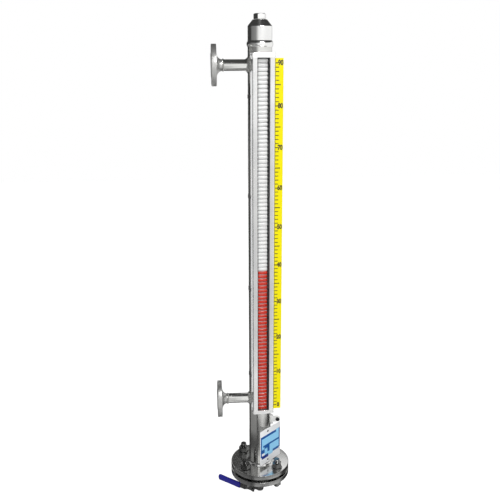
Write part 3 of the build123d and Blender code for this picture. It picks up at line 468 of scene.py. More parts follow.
# Fillet weld at the tube's foot: a rippled bead of 6.2 mm that bulges by sin(pi s)
s = np.linspace(0, 1, 9)[:, None]
bulge = np.sin(pi * s) * (0.0009 + 0.00012 * np.cos(70 * t))
weld_r = cap_seat_radius + base_weld * s + bulge
weld_z = base_top + base_weld * (1 - s) + bulge
weld = strip(about(*upright, weld_r * np.cos(t), weld_r * np.sin(t), weld_z))
face_ring = [(cap_seat_radius + base_weld, base_top), (plate_band[0], base_top)]
face_ring = turned(face_ring, closed=False)
inner_edge = rounded(
    [(plate_band[0], base_under), (seal_radius, base_under), (seal_radius, base_seal),
     (tube_bore, base_seal), (tube_bore, -0.213), (cap_seat_radius, -0.213),
     (cap_seat_radius, base_top + base_weld)],
    (0.0001, 0.0004, 0.0001, 0.0001, 0.0001), closed=False,
)
flange_plate("chamber_flange", "bottom_flange", base_top, base_under, inner_edge, [weld, face_ring])
inner_edge = rounded(
    [(plate_band[0], blind_upper), (seal_radius, blind_upper), (seal_radius, blind_seal),
     (0.0079, blind_seal), (0.0079, -0.2255), (0.01075, -0.2255), (0.01075, blind_bottom),
     (plate_band[0], blind_bottom)],
    (0.0001, 0.0004, 0.0004, 0.0001, 0.0001, 0.0006), closed=False,
)
flange_plate("blind_plate", "blind_flange", blind_upper, blind_bottom, inner_edge)
rubber = plain("gasket_rubber", (0.018, 0.018, 0.018), 0.75, 500.0, 0.4, 0.00005)
ring = [(tube_bore, blind_seal), (seal_radius, blind_seal), (seal_radius, base_seal)]
ring = turned(rounded([*ring, (tube_bore, base_seal)], 0.0003, 4))
piece("gasket_sheet", [ring], rubber, ("flange_gasket",))

# Studs, washers and nuts: four M16 studs through both flanges, a washer and a nut at each end.
# The threads stand out above and below the nuts.
stud_ends = (-0.2583, -0.1712)
stud_radius, stud_pitch = 0.008, 0.002
washer_bore, washer_radius, washer = 0.0083, 0.015, 0.003
nut_across, nut_height = 0.024, 0.0148


def threaded(radius, pitch, low, high, foot, axis=(0, 0, 1), per_turn=24):
    """Screw thread: radius less 0.61 pitch * (0.5 - 0.5 cos(2 pi (z / pitch - t / 2 pi))), with its
    ends drawn in to a chamfer."""
    t = np.arange(per_turn) * 2 * pi / per_turn
    z = np.linspace(low, high, int((high - low) / pitch * 6) + 1)
    wave = np.cos(2 * pi * (z[:, None] / pitch - t[None] / (2 * pi)))
    r = radius - 0.61 * pitch * (0.5 - 0.5 * wave)
    r = np.minimum(r, radius * 0.86 + np.minimum(z - low, high - z)[:, None])
    r = np.pad(r, ((1, 1), (0, 0)))
    z = np.concatenate([[low], z, [high]])[:, None]
    return strip(about(foot, axis, r * np.cos(t), r * np.sin(t), z))


def rectangle(left, right, low, high, corner=0.0):
    """Outline of a rectangle, with rounded corners if asked."""
    flat = [(left, low), (right, low), (right, high), (left, high)]
    return rounded(flat, corner) if corner else np.array(flat, float)


studs, washers, nuts = [], [], []
for k in range(bolt_count):
    turn = radians(45 + 90 * k)
    place = (chamber_x + bolt_circle * cos(turn), bolt_circle * sin(turn), 0)
    studs.append(threaded(stud_radius, stud_pitch, *stud_ends, place))
    for low, high in ((base_top, base_top + washer), (blind_bottom - washer, blind_bottom)):
        ring = rounded(rectangle(washer_bore, washer_radius, low, high), 0.0005, 4)
        washers.append(turned(ring, place, steps=48))
    for low in (base_top + washer, blind_bottom - washer - nut_height):
        nut = (nut_across, low, low + nut_height, place, (0, 0, 1), stud_radius)
        nuts.append(hexagon(*nut, twist=0.4 + 0.7 * k))
piece("stud_threads", studs, fixing_steel, ("flange_studs",))
piece("plain_washers", washers, fixing_steel, ("flange_washers",))
piece("hexagon_nuts", nuts, fixing_steel, ("flange_nuts",))


# Stop tubes, float and magnet: inside the chamber. The float is two thin drawn shells that close
# round a ring magnet, and it rests on the lower stop while the gauge is dry.
def dress(paint, *names):
    """Gives solids that are shown as they are their material."""
    for name in names:
        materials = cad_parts[name].data.materials
        materials.clear()
        materials.append(paint)


float_steel = steel("float_steel", (0.55, 0.54), (0.72, 0.71), (0.2, 0.35), 120.0, up=12)
dress(float_steel, "lower_stop_tube", "upper_stop_tube", "float_lower_shell", "float_upper_shell")
ferrite = plain("ferrite", (0.035, 0.035, 0.038), 0.5, 300.0, 0.4, 0.00008)
dress(ferrite, "float_magnet")

# Indicator rail: a folded channel that lies along the chamber and carries the whole indicator.
# Slots in its web let the clamp bands through.
indicator_turn = radians(5)
right_hand = np.array((cos(indicator_turn), sin(indicator_turn), 0))
rail_ends = (-0.018, 0.927)
rail_half, rail_web, rail_front = 0.0252, 0.03045, 0.05045
sheet, inner_bend = 0.0015, 0.0004
clamp_levels = np.linspace(0.075, 0.825, 4)
slot = np.array([0.0191, 0.0231])
slot_half = 0.0055


def swung(turn, u, d, z):
    """Place in a frame turned about the chamber: u to the right, d out from its axis, z up."""
    u, d, z = np.broadcast_arrays(u, d, z)
    x = chamber_x + u * cos(turn) + d * sin(turn)
    return np.stack([x, u * sin(turn) - d * cos(turn), z], -1)


def on_indicator(u, d, z):
    """Place on the indicator: u to the right, d out from the chamber's axis, z up."""
    return swung(indicator_turn, u, d, z)


def two_skins(outside, inside, gone=False, close=False):
    """Sheet between two grids of points. Cells marked as gone are left out, and walls join both
    skins along every edge that is left."""
    rows, columns = outside.shape[:2]
    cells = np.ones((rows - 1, columns if close else columns - 1), bool) & ~np.asarray(gone)
    index = np.arange(2 * rows * columns).reshape(2, rows, columns)

    def wall(r, c, r2, c2):
        corners = index[0][r, c], index[0][r2, c2], index[1][r2, c2], index[1][r, c]
        return np.stack(corners, 1)

    r, c = np.nonzero(cells)
    c2 = (c + 1) % columns
    faces = [np.stack([i[r, c], i[r, c2], i[r + 1, c2], i[r + 1, c]], 1) for i in index]
    beside = np.roll(cells, 1, 1) if close else np.pad(cells, ((0, 0), (1, 1)))
    r, c = np.nonzero(beside != cells if close else beside[:, 1:] != beside[:, :-1])
    faces.append(wall(r, c, r + 1, c))
    above = np.pad(cells, ((1, 1), (0, 0)))
    r, c = np.nonzero(above[1:] != above[:-1])
    faces.append(wall(r, c, r, (c + 1) % columns))
    return np.stack([outside, inside]), np.concatenate(faces)


def channel(half, web, end, bend, stops=(), steps=6):
    """Channel's outline in (u, d): from one side's end round two bends by the web to the other."""
    lean = np.linspace(0, pi / 2, steps)
    toward = 1 if end > web else -1
    right = [half - bend + bend * np.sin(lean), web + toward * bend * (1 - np.cos(lean))]
    right = np.stack(right, 1)
    middle = np.array([(u, web) for u in stops]).reshape(-1, 2)
    return np.concatenate([[(-half, end)], right[::-1] * (-1, 1), middle, right, [(half, end)]])


def folded(outline, inner, heights, gone=False, close=False):
    """Folded sheet: two outlines in (u, d) carried up through the heights."""
    z = np.asarray(heights)[:, None]
    skins = (on_indicator(edge[None, :, 0], edge[None, :, 1], z) for edge in (outline, inner))
    return two_skins(*skins, gone, close)


def middles(values):
    """Middle of each step between neighbouring values."""
    return (np.asarray(values)[1:] + np.asarray(values)[:-1]) / 2


stops = np.concatenate([-slot[::-1], slot])
outline = channel(rail_half, rail_web, rail_front, sheet, stops, 4)
inner = channel(rail_half - sheet, rail_web + sheet, rail_front, inner_bend, stops, 4)
edges = (clamp_levels[:, None] + (-slot_half, slot_half)).ravel()
heights = np.concatenate([[rail_ends[0]], edges, [rail_ends[1]]])
at_clamp = (np.abs(middles(heights)[:, None] - clamp_levels) < slot_half).any(1)
across = np.abs(middles(outline[:, 0]))
in_slot = (across > slot[0]) & (across < slot[1])
in_slot &= np.abs(middles(outline[:, 1]) - rail_web) < 0.0001
rail = folded(outline, inner, heights, at_clamp[:, None] & in_slot)
brushed = steel("brushed_steel", (0.5, 0.49), (0.66, 0.65), (0.24, 0.38), 70.0, up=40)
piece("rail_channel", [rail], brushed, ("indicator_rail",))

# Comb: the dark moulded channel that the rollers clip into. Each roller's pins drop through two
# narrow slots in its sides.
comb_front = 0.044
comb_ends = (-0.017, 0.917)
roller_pitch = 0.01
roller_levels = np.arange(-1, 92) * roller_pitch
roller_out = 0.0399
pin_slot = 0.00095


def comb_section(half, floor):
    """The comb's outline in (u, d), with a point on each side at the foot of the pin slots."""
    right = np.array([(half, floor), (half, roller_out - pin_slot), (half, comb_front)])
    return np.concatenate([right[::-1] * (-1, 1), right])


heights = np.sort(np.concatenate([comb_ends, roller_levels - pin_slot, roller_levels + pin_slot]))
at_pin = np.abs(middles(heights)[:, None] - roller_levels).min(1) < pin_slot * 0.9
in_side = np.array([True, False, False, False, True])
skins = comb_section(0.0145, 0.0332), comb_section(0.0119, 0.0346)
comb = folded(*skins, heights, at_pin[:, None] & in_side)
dark_plastic = plain("dark_plastic", (0.03, 0.03, 0.032), 0.42, 700.0, 0.3, 0.00004)
piece("roller_comb", [comb], dark_plastic)

# Rollers: moulded in two halves, white on one side and red on the other, each round a small magnet
# and turning on two pins. They are red to the front up to the level and white above it.
red_levels = 39
# Red stops 65 degrees from the red side's middle instead of 90, so white edges paint in a highlight
# line on each red roller
red_lean = 65
level_edge = red_levels * roller_pitch - roller_pitch / 2
free_rollers = range(32, 45)
# Half a roller's outline in millimetres: (place along its line, radius)
half_roller = np.array(
    [(12.5, 0), (12.5, 0.9), (11.7, 0.9), (11.7, 3.3), (11.55, 3.95), (11.1, 4.5), (10.5, 4.75)]
)
along, radius = np.concatenate([half_roller * (-1, 1), half_roller[::-1]]).T / 1000


def roller_grid(i, steps=36):
    """One roller: radius by place along its own line, a barrel with rounded ends and two pins."""
    t = (np.arange(steps) + 0.5) * 2 * pi / steps
    out, up = radius[:, None] * np.cos(t), radius[:, None] * np.sin(t)
    return strip(on_indicator(along[:, None], roller_out + out, i * roller_pitch + up))


def two_colours(made):
    """Red on the faces within 65 degrees of a roller's red side, white on all others, by the angle
    of each face's middle round its roller: atan2(height above the pins, distance out from them).
    The red side is the front one up to the level. White that starts at 65 degrees, short of the
    halves' edge at 90, shows as a pale line at each red roller's edges: a painted highlight."""
    made.data.materials.append(white_plastic)
    x, y, z = face_middles(made).T
    out = (x - chamber_x) * sin(indicator_turn) - y * cos(indicator_turn) - roller_out
    level = np.round(z / roller_pitch) * roller_pitch
    side = np.where(level < level_edge, 1, -1)
    lean = np.abs(np.degrees(np.arctan2(z - level, side * out)))
    made.data.polygons.foreach_set("material_index", np.where(lean < red_lean, 0, 1))


white_plastic = plain("roller_white", (0.96, 0.96, 0.955), 0.3, 900.0, 0.15, 0.00003)
red_plastic = plain("roller_red", (0.68, 0.03, 0.012), 0.17, 900.0, 0.15, 0.00003)
below, above = range(-1, free_rollers[0]), range(free_rollers[-1] + 1, 92)
made = piece("rollers_below", [roller_grid(i) for i in below], red_plastic)
two_colours(made)
made = piece("rollers_above", [roller_grid(i) for i in above], red_plastic)
two_colours(made)
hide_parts("roller_carrier")
for i in free_rollers:
    side_name = "roller_red" if i < red_levels else "roller_white"
    solid, body = (f"roller_{i}",), f"roller_{i}_body"
    two_colours(piece(f"flip_roller_{i}", [roller_grid(i)], red_plastic, solid, body))

# Indicator housing: a channel of polished stainless sheet over the rail, with the window milled out
# of its front. Screws through the end caps hold it.
housing_half, housing_front, housing_back = 0.027, 0.058, 0.022
window_half, window_bottom, window_top = 0.0155, -0.01, 0.917
corner = 0.0015
stops = (-window_half, -window_half + corner, 0.0, window_half - corner, window_half)
outline = channel(housing_half, housing_front, housing_back, sheet, stops)
inner = channel(housing_half - sheet, housing_front - sheet, housing_back, inner_bend, stops)
low, high = (window_bottom, window_bottom + corner), (window_top - corner, window_top)
heights = np.array([rail_ends[0], *low, *np.linspace(0.05, 0.85, 9), *high, rail_ends[1]])
in_height = (middles(heights) > window_bottom) & (middles(heights) < window_top)
in_width = np.abs(middles(outline[:, 0])) < window_half
in_width &= middles(outline[:, 1]) > housing_front - 0.0001
points, faces = folded(outline, inner, heights, in_height[:, None] & in_width)
# Each corner of the window moves in by about 1 - 1 / sqrt(2) of its size, on to a round one
for side in (-1, 1):
    column = np.abs(outline[:, 0] - side * window_half).argmin()
    for level, up in ((window_bottom, 1), (window_top, -1)):
        row = np.abs(heights - level).argmin()
        points[:, row, column] += 0.29 * corner * (up * np.array((0, 0, 1)) - side * right_hand)
housing_steel = steel("housing_steel", (0.78, 0.78), (0.88, 0.87), (0.1, 0.2), up=30, metallic=0.8)


def eased(made, width, segments):
    """Small rounded edges on a piece cut from sheet or plate."""
    bevel = made.modifiers.new("edges", "BEVEL")
    bevel.width = width
    bevel.segments = segments
    bevel.limit_method = "ANGLE"
    bevel.angle_limit = radians(40)
    bevel.harden_normals = True


parts = [(points, faces)]
made = piece("housing_channel", parts, housing_steel, ("indicator_housing",))
eased(made, 0.00025, 2)

# Glass: a flat pane behind the window, its edges ground. The comb's side walls stand behind it and
# the housing's front holds it.
pane_half, pane_ends = 0.019, (-0.016, 0.923)
pane_out, pane_ease = (0.0535, 0.0565), 0.0004


def slab(outline, place, low, high, ease=0.0, cells=None):
    """Plate between two distances, with place(a, b, out) giving each point. The outline is drawn in
    by the ease at both faces, so its edges are quarter circles. Each face is one polygon, or the
    cells given as rows of outline numbers."""
    outline = np.asarray(outline, float)
    ahead, back = np.roll(outline, -1, 0) - outline, outline - np.roll(outline, 1, 0)
    sides = []
    for run in (ahead, back):
        length = np.maximum(np.linalg.norm(run, axis=1, keepdims=True), 1e-12)
        sides.append(np.stack([run[:, 1], -run[:, 0]], 1) / length)
    normal = sides[0] + sides[1]
    normal /= np.maximum((normal * sides[0]).sum(1, keepdims=True), 0.3)
    x, y = outline.T
    normal *= np.sign((x * np.roll(y, -1) - y * np.roll(x, -1)).sum())
    lean = np.linspace(0, pi / 2, 3) if ease else np.array([0.0])
    inset, rise = ease * (1 - np.sin(lean)), ease * (1 - np.cos(lean))
    levels = np.concatenate([low + rise, (high - rise)[::-1]])
    rings = outline - normal * np.concatenate([inset, inset[::-1]])[:, None, None]
    points, side = strip(place(rings[..., 0], rings[..., 1], levels[:, None] + 0 * rings[..., 0]))
    last = points.size // 3 - len(outline)
    cells = [np.arange(len(outline))[None]] if cells is None else cells
    return [(points, side)] + [(points, cell + skip) for cell in cells for skip in (0, last)]


pane = rectangle(-pane_half, pane_half, *pane_ends)
pane = slab(pane, lambda u, z, d: on_indicator(u, d, z), *pane_out, pane_ease)
glass = plain("window_glass", (0.01, 0.012, 0.012), 0.03, 40.0, 0.03, 0.00002, 1.0, alpha=0.06)
glass.surface_render_method = "BLENDED"
piece("glass_pane", pane, glass, ("indicator_glass",))

# End caps: folded sheet lids over both ends of the housing, each held by a screw at either side.
# Their steel is lighter than the housing's, painted light for the bright band they show.
lid_sheet = 0.0012
lid_half = 0.0283
lid_front = 0.0593
lid_bend = 0.0037
lid_ease, lid_reach = 0.0005, 0.028
lid_centre = np.array([0.0, 0.045])
screw_out, screw_levels = 0.046, (-0.015, 0.924)
outline = channel(lid_half, lid_front, rail_web, lid_bend)
inner = channel(lid_half - lid_sheet, lid_front - lid_sheet, rail_web, lid_bend - lid_sheet)
shrunk = lid_centre + (outline - lid_centre) * (1 - lid_ease / lid_reach)
gone = np.zeros((3, len(outline)), bool)
gone[1:, -1] = True
# Lighter steel than the housing's: painted light on the lids
lid_steel = steel("lid_steel", (0.92, 0.91), (0.97, 0.96), (0.14, 0.24), metallic=0.5)
for name, end, outward, skirt in (
    ("bottom_end_lid", rail_ends[0], -1, 0.0065), ("top_end_lid", rail_ends[1], 1, 0.011)
):
    top = end + outward * lid_sheet
    foot = top - outward * skirt
    rims = [(lid_centre + 0 * outline, top), (shrunk, top)]
    rims += [(outline, top - outward * lid_ease), (outline, foot)]
    inner_rims = [(lid_centre + 0 * inner, end), (inner * 0.98 + lid_centre * 0.02, end)]
    inner_rims += [(inner, end), (inner, foot)]
    skins = [np.stack([on_indicator(*p.T, z) for p, z in rows]) for rows in (rims, inner_rims)]
    parts = [two_skins(*skins, gone, close=True)]
    piece(name, parts, lid_steel, (name.replace("lid", "cap"),), crease=40)
pan = [(0.0, 0.0016), (0.0008, 0.00158), (0.0016, 0.00135), (0.0022, 0.0009), (0.0025, 0.0003),
       (0.0025, 0.0), (0.0015, 0.0), (0.0015, -0.0045), (0.0, -0.0045)]
screws = [
    turned(pan, on_indicator(side * lid_half, screw_out, level), side * right_hand, 24)
    for level in screw_levels
    for side in (-1, 1)
]
piece("pan_screws", screws, fixing_steel, ("end_cap_screws",))

# Clamps: four bands of stainless strip round the chamber and through the rail's slots. A worm screw
# behind the chamber draws each one tight.
band_half = 0.0045
lock_front, lock_back, lock_half, lock_side = -0.03025, -0.03925, 0.006, 0.0075
worm_out, worm_radius, worm_pitch, worm_half = -0.03475, 0.0033, 0.0014, 0.0095
worm_across, worm_end = 0.007, 0.0135


def band_loop(radius, bow, steps=72):
    """Loop in (u, d) with every normal direction once: a large circle round the chamber and two
    small ones in the rail's corners, joined by straight runs."""
    facing = (np.arange(steps) + 0.5) * 2 * pi / steps - pi
    side_centre = np.array([0.019, 0.03125])
    change = np.arctan2(*side_centre) + np.arccos((radius - bow) / np.hypot(*side_centre))
    inside = (np.abs(facing) < change)[:, None]
    centre = np.where(inside, side_centre * np.stack([np.sign(facing), np.ones(steps)], 1), 0)
    return centre + np.where(inside, bow, radius) * np.stack([np.sin(facing), np.cos(facing)], 1)


bands, locks, worms = [], [], []
for level in clamp_levels:
    z = level + np.array([-band_half, -band_half + 0.0003, band_half - 0.0003, band_half])
    bands.append(folded(band_loop(0.03095, 0.0015), band_loop(0.03025, 0.0008), z, close=True))
    shell = rectangle(lock_front, lock_back, level - lock_half, level + lock_half)
    dome = rounded(shell, (0.0004, 0.0045, 0.0045, 0.0004), 7)
    locks += slab(dome, lambda d, z, u: on_indicator(u, d, z), -lock_side, lock_side, 0.0005)
    place = (on_indicator(0.0, worm_out, level), -right_hand)
    worms.append(threaded(worm_radius, worm_pitch, -worm_half, worm_half, *place, 20))
    worms.append(hexagon(worm_across, worm_half, worm_end, *place, steps=48))
piece("clamp_straps", bands + locks, brushed, ("clamp_bands",))
piece("worm_screws", worms, fixing_steel, ("clamp_screws",))

# Scale: an angle of aluminium sheet, painted yellow, with its ticks and numbers printed in black.
# Its leg is riveted to the housing's side.
scale_ends = (-0.006, 0.916)
scale_zero = 0.005
scale_face = 0.058
scale_leg = (0.0271, 0.0281)
scale_foot = 0.044
scale_edge = 0.0473
scale_sheet = 0.001
scale_bend, scale_inner_bend = 0.0012, 0.0002
rivet_out = 0.0526
lean = np.linspace(0, pi / 2, 5)
curve = np.stack([1 - np.cos(lean), np.sin(lean) - 1], 1)
corner_out = (scale_leg[0], scale_face) + scale_bend * curve
corner_in = (scale_leg[1], scale_face - scale_sheet) + scale_inner_bend * curve
outline = [[(scale_leg[0], scale_foot)], corner_out, [(scale_edge, scale_face)]]
inner = [[(scale_leg[1], scale_foot)], corner_in, [(scale_edge, scale_face - scale_sheet)]]
angle = folded(np.concatenate(outline), np.concatenate(inner), np.linspace(*scale_ends, 12))
yellow = plain("yellow_paint", (0.8, 0.7, 0.003), 0.55, 350.0, 0.12, 0.00003, specular=0.15)
made = piece("scale_angle", [angle], yellow, ("scale_plate",))
eased(made, 0.0002, 1)
print_high = 0.00006
number_size = 0.0165
number_width = 0.74
number_middle = 0.0403
tick_start, ten_end, five_end, one_end = 0.028, 0.0352, 0.041, 0.0364
five_thick, one_thick = 0.0026, 0.0021


def ticks(places):
    """Bars as closed blocks: the printed ticks, and the line of painted shade up the inner edge.
    (u from, u to, z, thickness) each, all made at once.
    """
    p = np.array(places)
    u = np.stack([p[:, 0], p[:, 1], p[:, 1], p[:, 0]], 1)
    z = np.stack([p[:, 2] - p[:, 3] / 2] * 2 + [p[:, 2] + p[:, 3] / 2] * 2, 1)
    points = np.stack([on_indicator(u, scale_face + high, z) for high in (0, print_high)], 1)
    one = [(4, 5, 6, 7), (3, 2, 1, 0), (0, 1, 5, 4), (1, 2, 6, 5), (2, 3, 7, 6), (3, 0, 4, 7)]
    faces = np.array(one)[None] + 8 * np.arange(len(p))[:, None, None]
    return points.reshape(-1, 3), faces.reshape(-1, 4)


def number(text, u, z):
    """A printed number as a flat solid, made from the plain built-in letters and centred on (u, z):
    one part for each count of corners that its faces have."""
    letters = bpy.data.curves.new("number_" + text, "FONT")
    letters.body = text
    letters.size = number_size
    letters.extrude = 0.5
    letters.offset = 0.055 * number_size
    letters.align_x = "CENTER"
    letters.align_y = "CENTER"
    letters.resolution_u = 3
    holder = added("number_" + text, letters)
    bpy.context.view_layer.update()
    drawn = holder.evaluated_get(bpy.context.evaluated_depsgraph_get())
    mesh = bpy.data.meshes.new_from_object(drawn)
    points = np.zeros(len(mesh.vertices) * 3)
    mesh.vertices.foreach_get("co", points)
    right, up, high = points.reshape(-1, 3).T
    bpy.data.objects.remove(holder)
    by_size = {}
    for face in mesh.polygons:
        by_size.setdefault(len(face.vertices), []).append(list(face.vertices))
    points = on_indicator(u + number_width * right, scale_face + print_high * (high > 0), z + up)
    return [(points, np.array(group)) for group in by_size.values()]


# A dark line up the scale's inner edge, painted shade for the gap beside the housing, then a tick
# for each centimetre of level
bars = [(0.0274, 0.0283, 0.455, 0.92)]
for k in range(91):
    reach = ten_end if k % 10 == 0 else five_end if k % 5 == 0 else one_end
    thick = five_thick if k % 5 == 0 else one_thick
    bars.append((tick_start, reach, scale_zero + k * 0.01, thick))
prints = [ticks(bars)]
for k in range(10):
    prints += number(str(10 * k), number_middle, scale_zero + 0.1 * k)
print_black = plain("print_black", (0.055, 0.05, 0.008), 0.5, 600.0, 0.1, 0.00002)
piece("scale_print", prints, print_black)
dome = [(0.0, 0.0012), (0.001, 0.00112), (0.002, 0.0008), (0.0027, 0.0004), (0.003, 0.0),
        (0.0016, 0.0), (0.0016, -0.003), (0.0, -0.003)]
levels = np.linspace(0.06, 0.84, 5)
rivets = [turned(dome, on_indicator(scale_leg[1], rivet_out, z), right_hand, 24) for z in levels]
piece("scale_rivet_heads", rivets, fixing_steel, ("scale_rivets",))

# Nameplate: a thin printed plate riveted to a bar that is welded along the chamber. Its print is
# blue bars and pale fields, with nothing written in them.
plate_turn = radians(43)
plate_middle = -0.136
plate_out = (0.034, 0.035)
plate_sides = (-0.037, 0.048)
plate_half = 0.054
plate_print = 0.00005


def on_plate(w, h, out):
    """Place on the nameplate: w level to its right, h above its middle, out from the axis."""
    return swung(plate_turn, w, out, plate_middle + h)


plate = rectangle(*plate_sides, -plate_half, plate_half, 0.0025)
plate_white = plain("plate_white", (0.88, 0.89, 0.91), 0.35, 500.0, 0.1, 0.00002)
parts = slab(plate, on_plate, *plate_out, 0.0003)
piece("name_plate", parts, plate_white, ("nameplate",))
left, right = plate_sides[0] + 0.002, plate_sides[1] - 0.002
blue_fields = [
    (left, 0.03, 0.0275, 0.035), (left, -0.0302, -0.029, 0.0275),
    (0.042, right, -0.026, 0.036), (-0.025, 0.042, 0.0, 0.0055),
    (-0.0195, 0.0025, -0.0064, 0.0), (-0.0067, 0.0025, -0.0198, -0.0064),
    (-0.0302, -0.0186, -0.0185, -0.0065), (0.016, 0.042, -0.029, -0.022),
]
navy_fields = [(-0.0302, -0.003, -0.036, -0.026)]
pale_fields = [
    (-0.0302, 0.03, 0.0055, 0.0275), (0.03, 0.042, 0.0055, 0.036),
    (-0.0302, -0.025, -0.0065, 0.0055), (-0.025, -0.0195, -0.0065, 0.0),
    (-0.0186, -0.0067, -0.026, -0.0064), (-0.0067, 0.0025, -0.026, -0.0198),
    (0.0025, 0.042, -0.022, 0.0), (-0.003, 0.016, -0.033, -0.026),
    (0.0025, 0.016, -0.026, -0.022),
]
for name, colour, fields in (
    ("plate_print_blue", (0.0, 0.09, 0.36), blue_fields),
    ("plate_print_navy", (0.0, 0.02, 0.22), navy_fields),
    ("plate_print_pale", (0.3, 0.66, 0.95), pale_fields),
):
    parts = []
    for field in fields:
        parts += slab(rectangle(*field), on_plate, plate_out[1], plate_out[1] + plate_print)
    piece(name, parts, plain(name, colour, 0.35, 500.0, 0.1, 0.00002))
plate_normal = (sin(plate_turn), -cos(plate_turn), 0)
dome = [(0.0, 0.0013), (0.0012, 0.00122), (0.0023, 0.0008), (0.003, 0.0003), (0.0032, 0.0),
        (0.0016, 0.0), (0.0016, -0.0035), (0.0, -0.0035)]
feet = [on_plate(-0.005, height, plate_out[1]) for height in (-0.0455, 0.0455)]
rivets = [turned(dome, foot, plate_normal, 24) for foot in feet]
piece("plate_rivets", rivets, fixing_steel, ("nameplate_rivets",))
dress(brushed, "nameplate_bracket")

# Earthing lug: a pad and a rounded tab of plate, welded to the chamber's side, with a bolt for the
# earth wire.
lug_middle = -0.07
tab_radius = 0.0085
tab_half = 0.002
tab_hole = 0.05
pad = rounded(rectangle(0.0287, 0.03715, -0.0055, 0.0055), (0.0002, 0.0015, 0.0015, 0.0002))
pad_levels = lug_middle - 0.013, lug_middle + 0.013
parts = slab(pad, lambda x, y, z: np.stack([chamber_x + x, y, z], -1), *pad_levels, 0.001)
lean = np.linspace(-pi / 2, pi / 2, 17)
tip = (tab_hole, 0) + arc(tab_radius, lean)
tab = np.concatenate([[(0.0322, -tab_radius)], tip, [(0.0322, tab_radius)]])
parts += slab(
    tab, lambda x, z, y: np.stack([chamber_x + x, y, lug_middle + z], -1),
    -tab_half, tab_half, 0.0005,
)
blasted_steel = steel(
    "blasted_steel", (0.86, 0.85), (0.94, 0.93), (0.5, 0.6), 200.0, 0.2, metallic=0.5
)
piece("earth_tab", parts, blasted_steel, ("earth_lug",))
place = ((chamber_x + tab_hole, 0, lug_middle), (0, -1, 0))
parts = [hexagon(0.01, tab_half, 0.006, *place, steps=48)]
parts.append(threaded(0.003, 0.001, -0.006, tab_half, *place, 20))
bolt_steel = steel("bolt_steel", (0.02, 0.025), (0.04, 0.045), (0.25, 0.4), 300.0)
piece("earth_screw", parts, bolt_steel, ("earth_bolt",))

# Drain nipple: a short tube with a thread cut along it, screwed into the blind flange above and the
# valve below.
nipple_bore = 0.0046
nipple_radius = 0.00685
z = np.linspace(-0.263, -0.2262, 72)
thread = np.stack([nipple_radius - 0.0005 * np.abs(np.sin(z * pi / 0.00134)), z], 1)
ends = [(nipple_bore, -0.2639), (0.0064, -0.2639), (nipple_radius, -0.2634)]
nipple = np.concatenate([ends, thread, [(0.0064, -0.2256), (nipple_bore, -0.2256)]])
parts = [turned(nipple, steps=48)]
piece("nipple_tube", parts, tube_steel, ("drain_nipple",))

# Drain valve: a small cast ball valve with a hexagon at each end, a boss for its stem and a stop
# pin for its lever. The lower hexagon is a screwed end piece with the threaded outlet.
valve_centre = (chamber_x, 0, -0.277)
valve_turn = radians(232)
stem_out = np.array((cos(valve_turn), sin(valve_turn), 0))
lever_along = np.array((sin(valve_turn), -cos(valve_turn), 0))
pin_turn = radians(225)
pin_circle = 0.007
end_radius = 0.005


def on_valve(along, down, out):
    """Place on the valve: along the closed lever, down, and out along the stem."""
    along, down, out = (np.asarray(v)[..., None] for v in (along, down, out))
    return valve_centre + along * lever_along + out * stem_out - down * np.array((0, 0, 1.0))


barrel = rounded(
    [(0.0089, -0.0116), (0.0117, -0.0116), (0.0117, -0.009), (0.012, 0.0), (0.0117, 0.009),
     (0.0112, 0.0118), (0.007, 0.0118), (end_radius, 0.0118), (end_radius, 0.0088),
     (0.0089, 0.0088)],
    (0.0002, 0.0006, 0.0015, 0.004, 0.0015, 0.0008, 0.0004, 0.0002, 0.0002, 0.0002),
)
boss = rounded(
    [(0.0032, 0.0105), (0.0068, 0.0105), (0.0068, 0.0215), (0.0095, 0.0215), (0.0095, 0.0245),
     (0.0044, 0.0245), (0.0044, 0.0205), (0.0032, 0.0205)],
    (0.0001, 0.0001, 0.0008, 0.0005, 0.0005, 0.0003, 0.0002, 0.0002),
)
pin_foot = on_valve(pin_circle * cos(pin_turn), pin_circle * sin(pin_turn), 0.0)
pin = [(0.0, 0.0235), (0.0012, 0.0235), (0.0012, 0.0385), (0.0, 0.0385)]
parts = [
    turned(barrel, valve_centre),
    hexagon(0.022, 0.0118, 0.022, valve_centre, (0, 0, 1), 0.00695),
    turned(boss, valve_centre, stem_out, 64),
    turned(rounded(pin, (0, 0.0001, 0.0004, 0), 3), pin_foot, stem_out, 20),
]
cast_steel = steel("cast_steel", (0.1, 0.1), (0.2, 0.195), (0.32, 0.48), 420.0, 0.8)
piece("valve_casting", parts, cast_steel, ("valve_body",))
outlet = [(end_radius, -0.0088), (0.0088, -0.0088), (0.0088, -0.0118), (0.007, -0.012),
          (end_radius, -0.012)]
lining = [(end_radius, -0.014), (0.0067, -0.014), (0.0067, -0.0119), (end_radius, -0.0119)]
parts = [
    turned(rounded(outlet, 0.0002, 3), valve_centre, steps=64),
    hexagon(0.019, -0.022, -0.0118, valve_centre, (0, 0, 1), 0.0066),
    turned(lining, valve_centre, steps=64),
]
piece("valve_end_hexagon", parts, cast_steel, ("valve_end",))
gland = hexagon(0.0096, 0.0245, 0.0305, valve_centre, stem_out, 0.0032)
piece("gland_hexagon", [gland], cast_steel, ("gland_nut",))
seat_white = plain("seat_white", (0.8, 0.8, 0.77), 0.45, 500.0, 0.2, 0.00003)
dress(seat_white, "valve_seats", "stem_packing")
dress(fixing_steel, "valve_ball")

# Lever: a pressed bar on the stem's square, bent outwards past its hub and held by a nut, with a
# soft blue sleeve dipped over its grip. A notch in its hub runs along the stop pin, a quarter turn
# from closed to open.
lever_out = (0.0355, 0.0385)
lever_bend = (0.014, 0.026)
bend_rise = 0.006
hub_radius = 0.0085
notch_radius = 0.0055
notch_from, notch_to = radians(123), radians(237)
root_turn = radians(57)


def on_lever(along, down, out):
    """Place on the lever: past its bend it stands further out, by a rise of s^2 (3 - 2 s)."""
    s = np.clip((along - lever_bend[0]) / (lever_bend[1] - lever_bend[0]), 0, 1)
    return on_valve(along, down, out + bend_rise * s**2 * (3 - 2 * s))


